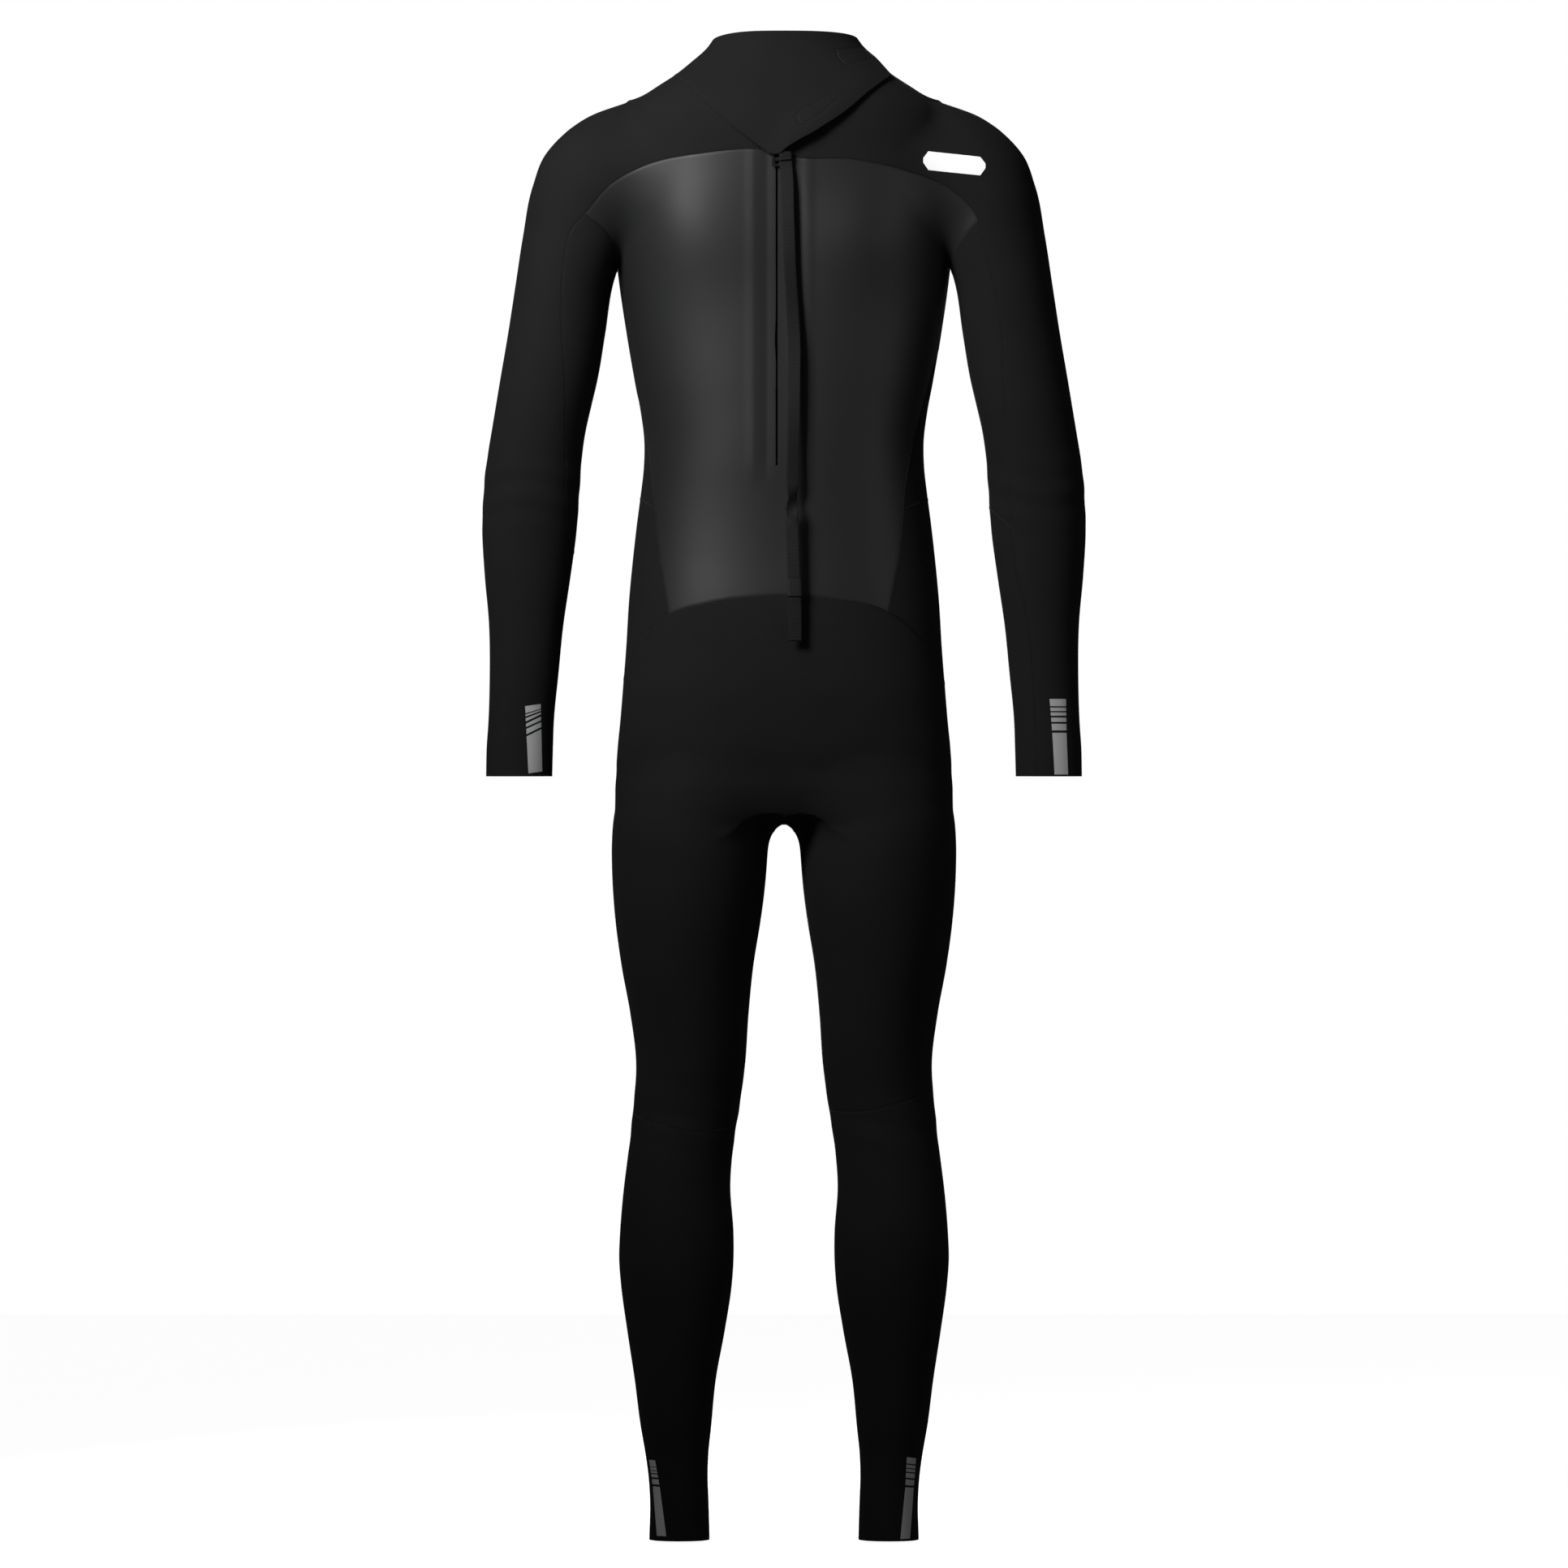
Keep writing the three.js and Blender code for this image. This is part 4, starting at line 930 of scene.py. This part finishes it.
def flap_out(x, z):
    """How far the flap's face stands off the worn shape."""
    above = z - flap_edge(x)[:, 0]
    lift = hill(x, above, 0.016, 0, 0.052, 0.026) * smooth_step(x, -0.035, 0.004)
    return FLAP_RISE * smooth_step(x, -0.075, -0.020) + FLAP_STANDOFF * lift


def turned(points, normals, out):
    """The worn shape's normals, turned to suit a face that stands off it by a changing height."""
    step = 0.0005
    x, z = points[:, 0], points[:, 2]
    rise_across = out(x + step, z) - out(x - step, z)
    rise_up = out(x, z + step) - out(x, z - step)
    rise = np.column_stack([rise_across, np.zeros(len(x)), rise_up]) / (2 * step)
    normals = normals - rise + normals * (rise * normals).sum(1)[:, None]
    return normals / np.linalg.norm(normals, axis=1)[:, None]


def inside_patch(corners, places):
    """Negative inside a four-cornered patch given clockwise, in metres from its edge."""
    corners = np.array(corners, float) / 1000
    worst = np.full(len(places), -1.0)
    for a, b in zip(corners, np.roll(corners, -1, axis=0)):
        side = (b - a) / np.linalg.norm(b - a)
        worst = np.maximum(worst, side[0] * (places[:, 2] - a[1]) - side[1] * (places[:, 0] - a[0]))
    return worst


def flap_measure(places):
    x, y, z = places.T
    end_edge = (z - END_Z + END_SLANT * (x - END_X)) / math.hypot(1, END_SLANT)
    wrap = np.where(x < 0, 0.0, FLAP_WRAP)
    return np.maximum.reduce([flap_edge(x)[:, 0] - z, y - wrap, end_edge]), z


flap_mesh = bmesh.new()
chosen_faces = [skin.faces[i] for i in np.nonzero((centres[:, 2] > 1.32) & (centres[:, 1] < 0.02))[0]]
old_verts = {v: flap_mesh.verts.new(v.co) for f in chosen_faces for v in f.verts}
for face in chosen_faces:
    flap_mesh.faces.new([old_verts[v] for v in face.verts])
flap_layer = flap_mesh.edges.layers.int.new("seam")
cut(flap_mesh, flap_measure, flap_layer, PLAIN)
for corners in (UPPER_PATCH, LOWER_PATCH):
    cut(flap_mesh, lambda places: (inside_patch(corners, places), places[:, 2]), flap_layer, SEWN)
flap_mesh.verts.index_update()
flap_mesh.faces.ensure_lookup_table()
flap_centres = np.array([f.calc_center_median()[:] for f in flap_mesh.faces])
on_flap = flap_measure(flap_centres)[0] < 0
flap_co = co_of(flap_mesh)
flap_heights = flap_out(flap_co[:, 0], flap_co[:, 2])
flap_normals = turned(flap_co, outward(flap_co), flap_out)
to_patch = np.minimum(*(np.abs(inside_patch(corners, flap_co)) for corners in (UPPER_PATCH, LOWER_PATCH)))
to_seam = np.where(flap_co[:, 0] < -0.004, np.abs(flap_co[:, 2] - flap_edge(flap_co[:, 0])[:, 0]), 1)
foam_edge = plain_material("foam_edge", (0.045, 0.045, 0.046), 0.8)
add_grain(foam_edge, 1800, 0.8, 0.0002)
flap_faces = [[v.index for v in flap_mesh.faces[i].verts] for i in np.nonzero(on_flap)[0]]
flap_points = flap_co + outward(flap_co) * flap_heights[:, None]
flap = thick(
    "neck_flap_jersey",
    flap_faces,
    flap_points,
    flap_normals,
    FLAP_WALL,
    jersey,
    np.minimum(to_patch, to_seam),
    raw_edge=(foam_edge, FOAM_EDGE_X),
)
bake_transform(flap)
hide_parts("neck_panel", "flap_fold", "neck_closure_flap")


def behind(x, z):
    """Points on the back of the worn shape at places across and up, found by halving."""
    near, far = np.full(len(x), -0.16), np.zeros(len(x))
    for _ in range(26):
        middle = (near + far) / 2
        outside = form(np.column_stack([x, middle, z])) > 0
        near, far = np.where(outside, middle, near), np.where(outside, far, middle)
    return np.column_stack([x, near, z])


def film(name, blocks, thickness, material, out, columns=10):
    """Thin four-cornered patches that follow the worn shape. A block is its top left, top right,
    bottom left and bottom right corners, across and up in millimetres."""
    points, faces = [], []
    for block in blocks:
        top_left, top_right, low_left, low_right = np.array(block, float) / 1000
        rows = max(3, int(abs(top_left[1] - low_left[1]) / 0.003))
        start = len(points)
        for i in range(rows + 1):
            left = top_left + (low_left - top_left) * i / rows
            right = top_right + (low_right - top_right) * i / rows
            points += [left + (right - left) * j / columns for j in range(columns + 1)]
        for i in range(rows):
            for j in range(columns):
                a = start + i * (columns + 1) + j
                faces.append([a, a + columns + 1, a + columns + 2, a + 1])
    across, up = np.array(points).T
    places = behind(across, up)
    normals = outward(places)
    height = out(across, up) if callable(out) else out
    return thick(name, faces, places, normals, thickness, material, out=height)


# Hook patches under the flap and the loop panel on the collar below them. Woven nylon with a
# dense pile of hooks or loops, sewn on round the edge.
PATCH_THICKNESS = 0.0009
hook_black = plain_material("hook_and_loop", (0.011, 0.011, 0.0112), 0.9, sheen=0.1)
add_grain(hook_black, 1300, 1.0, 0.0005)


def hook_out(x, z):
    return flap_out(x, z) - FLAP_WALL - 0.0001


for name, node, corners in (
    ("upper_hooks", "hook_patch_upper", UPPER_PATCH),
    ("lower_hooks", "hook_patch_lower", LOWER_PATCH),
):
    a, b, c, d = corners
    hooks = film(name, [(a, b, d, c)], PATCH_THICKNESS, hook_black, hook_out)
    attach(hooks, "neck_flap")
    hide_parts(node)
LOOP_BLOCKS = [
    ((8, 1384), (30, 1418), (8, 1363), (30, 1373)),
    ((30, 1418), (46, 1440), (30, 1373), (46, 1387)),
    ((46, 1440), (74, 1443), (46, 1387), (74, 1412)),
    ((74, 1443), (83, 1432), (74, 1412), (83, 1421)),
]
loops = film("neck_loops", LOOP_BLOCKS, PATCH_THICKNESS, hook_black, PATCH_THICKNESS - COLLAR_INSET)
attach(loops, "suit")
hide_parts("loop_patch")

# Zip. A moulded chain with fine teeth on two woven tapes behind the slit, its stops, and a
# black coated slider and pull tab with rounded edges.
foot_low, foot_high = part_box("zip_bottom_stop")
ZIP_X = (foot_low[0] + foot_high[0]) / 2
slide = next(joint for joint in frame["joints"] if joint["name"] == "zip_slide")
up_chain = -np.array(slide["axis"], float)
out_of_back = np.array([0.0, -up_chain[2], up_chain[1]])
ZIP_SKIN_Y = -0.0995
ZIP_FOOT_Z = 1.038
zip_foot = np.array([ZIP_X, ZIP_SKIN_Y, ZIP_FOOT_Z])
CHAIN_LENGTH = 0.311
CHAIN_FRONT, CHAIN_BACK = -0.0052, -0.0078
TOOTH_PITCH = 0.0024
TOOTH_HEIGHT = 0.00115
HALF_CHAIN = 0.0035
FIRST_TOOTH = 0.0052
# Offsets of the tape, and of the flap behind it, from the back's face, and their ends up the chain
TAPE_FRONT, TAPE_LENGTH = -0.0062, 0.320
TAPE_WIDTH, TAPE_THICKNESS, TAPE_BEAD = 0.013, 0.0006, 0.0002
BACKING_FRONT, BACKING_WALL = -0.0104, 0.002
BACKING_FOOT, BACKING_TOP = -0.006, 0.3155


def by_zip(places):
    """Places beside the zip, as across, out of the back and up the chain, in the suit's own frame."""
    across, out, up = np.array(places, float).T
    return zip_foot + np.outer(across, [1, 0, 0]) + np.outer(out, out_of_back) + np.outer(up, up_chain)


BOX_FACES = [(0, 1, 3, 2), (4, 6, 7, 5), (0, 4, 5, 1), (2, 3, 7, 6), (0, 2, 6, 4), (1, 5, 7, 3)]
zip_plastic = plain_material("zip_plastic", (0.012, 0.012, 0.012), 0.42)
add_grain(zip_plastic, 700, 0.3, 0.0001)
webbing_tape = plain_material("zip_tape", (0.011, 0.011, 0.0115), 0.8, sheen=0.1)
add_grain(webbing_tape, 900, 0.7, 0.0002, stretch=(0.3, 1, 2.4))
for side, sign in (("left", -1), ("right", 1)):
    points, faces = [], []
    start = FIRST_TOOTH + (TOOTH_PITCH / 2 if sign > 0 else 0)
    for i in range(int((CHAIN_LENGTH - start) / TOOTH_PITCH)):
        low = start + i * TOOTH_PITCH
        base = len(points)
        for x, narrow in ((sign * HALF_CHAIN, 0.0), (-sign * 0.0009, 0.00012)):
            for out, inset in ((CHAIN_FRONT, 0.00022), (CHAIN_BACK, 0.0)):
                points.append((x, out, low + narrow + inset))
                points.append((x, out, low + TOOTH_HEIGHT - narrow - inset))
        faces += [tuple(base + k for k in (f if sign < 0 else f[::-1])) for f in BOX_FACES]
    teeth = mesh_object(side + "_chain_teeth", by_zip(points), faces, zip_plastic, smooth=False)
    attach(teeth, "suit")
    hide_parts(side + "_zip_teeth")


def woven_strip(name, x0, x1, front, thickness, low, high, material, bead):
    """A flat strip along the zip with rounded, slightly thicker edges."""
    shares = np.linspace(0, 1, 13)
    swell = bead * np.exp(-((np.minimum(shares, 1 - shares) / 0.09) ** 2))
    edge = np.sqrt(np.clip(1 - np.clip(1 - np.minimum(shares, 1 - shares) / 0.04, 0, 1) ** 2, 0, 1))
    across = x0 + (x1 - x0) * shares
    middle, half = front - thickness / 2, (thickness / 2 + swell) * np.maximum(edge, 0.35)
    section = [(x, middle + h) for x, h in zip(across, half)]
    section += [(x, middle - h) for x, h in zip(across[::-1], half[::-1])]
    heights = np.linspace(low, high, 60)
    places = [(x, out, up) for up in heights for x, out in section]
    count = len(section)
    sides = []
    for i in range(len(heights) - 1):
        for j in range(count):
            a, b = i * count + j, i * count + (j + 1) % count
            sides.append((a, b, b + count, a + count))
    ends = [tuple(range(count))[::-1], tuple((len(heights) - 1) * count + j for j in range(count))]
    return mesh_object(name, by_zip(places), sides + ends, material)


for side, sign in (("left", -1), ("right", 1)):
    near = sign * (HALF_CHAIN + 0.0003)
    tape = woven_strip(
        side + "_woven_tape",
        near,
        near + sign * TAPE_WIDTH,
        TAPE_FRONT,
        TAPE_THICKNESS,
        0,
        TAPE_LENGTH,
        webbing_tape,
        TAPE_BEAD,
    )
    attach(tape, "suit")
    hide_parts(side + "_zip_tape")
backing_low, backing_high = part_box("zip_backing")
backing = woven_strip(
    "zip_backing_jersey",
    backing_low[0] - ZIP_X,
    backing_high[0] - ZIP_X,
    BACKING_FRONT,
    BACKING_WALL,
    BACKING_FOOT,
    BACKING_TOP,
    jersey,
    0.0,
)
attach(backing, "suit")
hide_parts("zip_backing")


def eased_copy(node, name, radius, material):
    """A moulded piece in the shape of its CAD node, with its edges rounded."""
    shape = bmesh.new()
    shape.from_mesh(frame["nodes"][node].data)
    bmesh.ops.remove_doubles(shape, verts=shape.verts, dist=1e-6)
    bmesh.ops.dissolve_limit(shape, angle_limit=0.02, verts=shape.verts, edges=shape.edges)
    sharp = [e for e in shape.edges if e.is_manifold and e.calc_face_angle(0) > 0.5]
    bmesh.ops.bevel(
        shape, geom=sharp, offset=radius, segments=2, profile=0.6, affect="EDGES", clamp_overlap=True
    )
    mesh = bpy.data.meshes.new(name)
    shape.to_mesh(mesh)
    mesh.materials.append(material)
    mesh.shade_smooth()
    mesh.set_sharp_from_angle(angle=0.7)
    made = bpy.data.objects.new(name, mesh)
    scene.collection.objects.link(made)
    return made


zip_metal = plain_material("zip_metal", (0.02, 0.02, 0.021), 0.36, metallic=0.6)
add_grain(zip_metal, 500, 0.25, 0.0001)
for node, name, body, slot, radius in (
    ("zip_bottom_stop", "bottom_stop", "suit", "zip_plastic", 0.0004),
    ("left_zip_top_stop", "left_top_stop", "suit", "zip_plastic", 0.0003),
    ("right_zip_top_stop", "right_top_stop", "suit", "zip_plastic", 0.0003),
    ("zip_slider", "slider_body", "zip_slider", "zip_metal", 0.0003),
    ("pull_tab", "slider_tab", "pull_tab", "zip_metal", 0.0002),
):
    moulded = eased_copy(node, name, radius, zip_plastic if slot == "zip_plastic" else zip_metal)
    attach(moulded, body)
    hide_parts(node)

# Prints. Heat-pressed films: a grey block with stripes above it at each wrist and ankle, and a
# plain white bar on the right shoulder, made to glow a little as a painted highlight. Stripes are
# given as the heights of their two ends.
PRINT_THICKNESS = 0.0002
PRINT_OUT = 0.00028
grey_print = plain_material("grey_print", (0.64, 0.64, 0.65), 0.45)
add_grain(grey_print, 1500, 0.3, 0.00008)
# The white print glows a little: a painted highlight that keeps the bar bright under any lamp.
white_print = plain_material("white_print", (0.9, 0.9, 0.9), 0.5, glow=0.45)
add_grain(white_print, 1500, 0.3, 0.00008)
PRINTS = [
    ("left_wrist", "left_forearm", [(808, -250.2, -235.2), (741, -247, -233.8)],
     [(806, 808.2, 799.1, 803.6), (797.9, 802.7, 796.1, 801.5), (794.3, 800, 791.3, 798.2),
      (789, 796.1, 785.9, 792.5), (783.9, 790.7, 778.9, 785.9), (776.8, 783.8, 741, 743)]),
    ("right_wrist", "right_forearm", [(813, 256.5, 272.4), (780, 259.2, 273), (740, 261.4, 274.5)],
     [(813, 813, 806, 806), (804.6, 804.6, 801.3, 801.3), (800, 800, 796.8, 796.8),
      (795, 795, 790.8, 790.8), (789, 789, 782.6, 782.6), (780.3, 780.3, 740, 740)]),
    ("left_ankle", "left_shin", [(79, -130.3, -124.5), (52.6, -126.4, -119.8), (5, -122.5, -113.5)],
     [(78.2, 78.2, 71.8, 71.8), (71.2, 71.2, 68.3, 68.3), (67.5, 67.5, 65.5, 65.5),
      (64.4, 64.4, 61.5, 61.5), (59.7, 59.7, 54.7, 54.7), (52.6, 52.6, 5.1, 5.1)]),
    ("right_ankle", "right_shin", [(82, 118.5, 127.5), (52.2, 117, 125.1), (2, 112.1, 121.4)],
     [(81.6, 80, 75.4, 74), (74.3, 72.8, 71.1, 69.8), (70.2, 68.8, 67.5, 66.2), (66.3, 65, 61.7, 60.4),
      (60.1, 58.8, 54.4, 53.4), (52.2, 51.6, 2.5, 2.5)]),
]
for name, body, edges, stripes in PRINTS:
    heights, lefts, rights = np.array(sorted(edges), float).T
    blocks = []
    for left_top, right_top, left_low, right_low in stripes:
        blocks.append([
            (np.interp(left_top, heights, lefts), left_top),
            (np.interp(right_top, heights, rights), right_top),
            (np.interp(left_low, heights, lefts), left_low),
            (np.interp(right_low, heights, rights), right_low),
        ])
    printed = film(name + "_film", blocks, PRINT_THICKNESS, grey_print, PRINT_OUT)
    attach(printed, body)
    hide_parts(name + "_print")
SHOULDER_BAR = [
    ((134, 1333.5), (139, 1340), (134, 1329), (139, 1322)),
    ((139, 1340), (189, 1335), (139, 1322), (189, 1317)),
    ((189, 1335), (194, 1328.5), (189, 1317), (194, 1324)),
]
bar = film("shoulder_bar", SHOULDER_BAR, PRINT_THICKNESS, white_print, PRINT_OUT)
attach(bar, "suit")
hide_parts("shoulder_mark")

# Seam thread. Nylon laid to and fro over each glued seam, and round the patches on the flap. It
# follows the panel that it is sewn to, so each limb has its own run.
STITCH_PITCH = 0.0012
STITCH_REACH = 0.0012
THREAD_RADIUS = 0.00017
thread = plain_material("thread", (0.034, 0.034, 0.0345), 0.7)
add_grain(thread, 3000, 0.5, 0.0001)


def runs(mesh, layer):
    """The sewn edges as runs of vertex numbers, each from one meeting of seams to the next."""
    links = {}
    for edge in mesh.edges:
        if edge[layer] == SEWN:
            a, b = edge.verts[0].index, edge.verts[1].index
            links.setdefault(a, []).append(b)
            links.setdefault(b, []).append(a)
    left = {frozenset((a, b)) for a in links for b in links[a]}
    found = []
    for start in [v for v in links if len(links[v]) != 2] + list(links):
        for ahead in links[start]:
            here, run = start, [start]
            while frozenset((here, ahead)) in left:
                left.remove(frozenset((here, ahead)))
                run.append(ahead)
                if len(links[ahead]) != 2:
                    break
                here, ahead = ahead, next((n for n in links[ahead] if n != here), here)
            if len(run) > 3:
                found.append(run)
    return found


def sewn_run(points, out=None, reach=STITCH_REACH):
    """Places of the thread's turns along a run, with the face's normals there."""
    points = np.array(points)
    for _ in range(6):
        points[1:-1] = points[1:-1] / 2 + (points[:-2] + points[2:]) / 4
    travelled = np.concatenate([[0], np.cumsum(np.linalg.norm(np.diff(points, axis=0), axis=1))])
    wanted = np.arange(0, travelled[-1], STITCH_PITCH)
    laid = onto_form(np.column_stack([np.interp(wanted, travelled, points[:, k]) for k in range(3)]), 2)
    normals = outward(laid)
    height = THREAD_RADIUS * 0.5 + (out(laid[:, 0], laid[:, 2]) if out else 0)
    along = np.gradient(laid, axis=0)
    along /= np.linalg.norm(along, axis=1)[:, None]
    swing = np.where(np.arange(len(laid)) % 2 == 0, reach, -reach)
    return laid + np.cross(normals, along) * swing[:, None] + normals * np.reshape(height, (-1, 1)), normals


def thread_object(name, pieces):
    """Four-sided thread through each piece's turns."""
    points, faces = [], []
    for turns, normals in pieces:
        direction = np.gradient(turns, axis=0)
        direction /= np.maximum(np.linalg.norm(direction, axis=1), 1e-9)[:, None]
        level = np.cross(normals, direction)
        base = len(points)
        for turn, normal, side in zip(turns, normals, level):
            points += [turn + normal * THREAD_RADIUS, turn + side * THREAD_RADIUS]
            points += [turn - normal * THREAD_RADIUS, turn - side * THREAD_RADIUS]
        for i in range(len(turns) - 1):
            for j in range(4):
                a, b = base + 4 * i + j, base + 4 * i + (j + 1) % 4
                faces.append((a, b, b + 4, a + 4))
        faces.append(tuple(base + j for j in range(4))[::-1])
        faces.append(tuple(base + 4 * (len(turns) - 1) + j for j in range(4)))
    return mesh_object(name, points, faces, thread)


# Runs further out than this are an arm's, and runs lower than this are a leg's
ARM_SEAM_X = 0.19
LEG_SEAM_Z = 0.6
limb_of = {"suit": [], "left_arm": [], "right_arm": [], "left_leg": [], "right_leg": []}
for run in runs(skin, mark_layer):
    turns, normals = sewn_run(skin_co[run])
    x, z = turns[:, 0], turns[:, 2]
    side = np.where(x < 0, "left", "right")
    limb = np.where(z < LEG_SEAM_Z, np.char.add(side, "_leg"), "suit")
    limb = np.where((np.abs(x) > ARM_SEAM_X) & (z < 1.2) & (z > 0.7), np.char.add(side, "_arm"), limb)
    breaks = np.nonzero(limb[1:] != limb[:-1])[0] + 1
    for part in np.split(np.arange(len(turns)), breaks):
        if len(part) > 2:
            limb_of[str(limb[part[0]])].append((turns[part], normals[part]))
for limb, pieces in limb_of.items():
    sewing = thread_object(limb + "_thread", pieces)
    if limb == "suit":
        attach(sewing, "suit")
    else:
        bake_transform(sewing)
flap_runs = [sewn_run(flap_co[run], flap_out, 0.0006) for run in runs(flap_mesh, flap_layer)]
flap_sewing = thread_object("flap_thread", flap_runs)
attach(flap_sewing, "neck_flap")

# Stage. A white studio: a soft box high on the left aimed at the shoulders, a weak one on the right,
# two more for the suit's front, and a pale floor in a white surround.
floor_white = plain_material("floor", (0.6, 0.6, 0.6), 0.9, glow=0.95)
FLOOR = -0.002
floor_corners = [(-6, -6, FLOOR), (6, -6, FLOOR), (6, 6, FLOOR), (-6, 6, FLOOR)]
floor = mesh_object("floor", floor_corners, [(0, 1, 2, 3)], floor_white)
floor.visible_diffuse = False
floor.visible_glossy = False


def soft_box(name, place, target, size, power, spread):
    data = bpy.data.lights.new(name, "AREA")
    data.shape = "RECTANGLE"
    data.size, data.size_y = size
    data.energy = power
    data.spread = math.radians(spread)
    lamp = bpy.data.objects.new(name, data)
    lamp.location = place
    aim = Vector(target) - Vector(place)
    lamp.rotation_euler = aim.to_track_quat("-Z", "Y").to_euler()
    scene.collection.objects.link(lamp)


soft_box("key", (-1.2, -1.6, 2.35), (-0.12, 0, 1.33), (0.85, 1.0), 4.8, 48)
soft_box("fill", (2.7, -1.9, 1.7), (0.05, 0, 1.1), (1.1, 1.6), 2.6, 120)
soft_box("front key", (0.1, 3.2, 1.9), (0, 0, 1.1), (0.5, 0.6), 9, 60)
soft_box("front fill", (-0.1, 3.2, 0.5), (0, 0, 0.5), (0.5, 0.6), 5, 60)
world = bpy.data.worlds.new("world")
world.use_nodes = True
world_nodes, world_links = world.node_tree.nodes, world.node_tree.links
seen = world_nodes.new("ShaderNodeLightPath")
sky = world_nodes.new("ShaderNodeMapRange")
sky.inputs["To Min"].default_value = 0.035
sky.inputs["To Max"].default_value = 1.0
world_links.new(seen.outputs["Is Camera Ray"], sky.inputs["Value"])
world_nodes["Background"].inputs["Color"].default_value = (1, 1, 1, 1)
world_links.new(sky.outputs["Result"], world_nodes["Background"].inputs["Strength"])
scene.world = world
scene.view_settings.view_transform = "Standard"
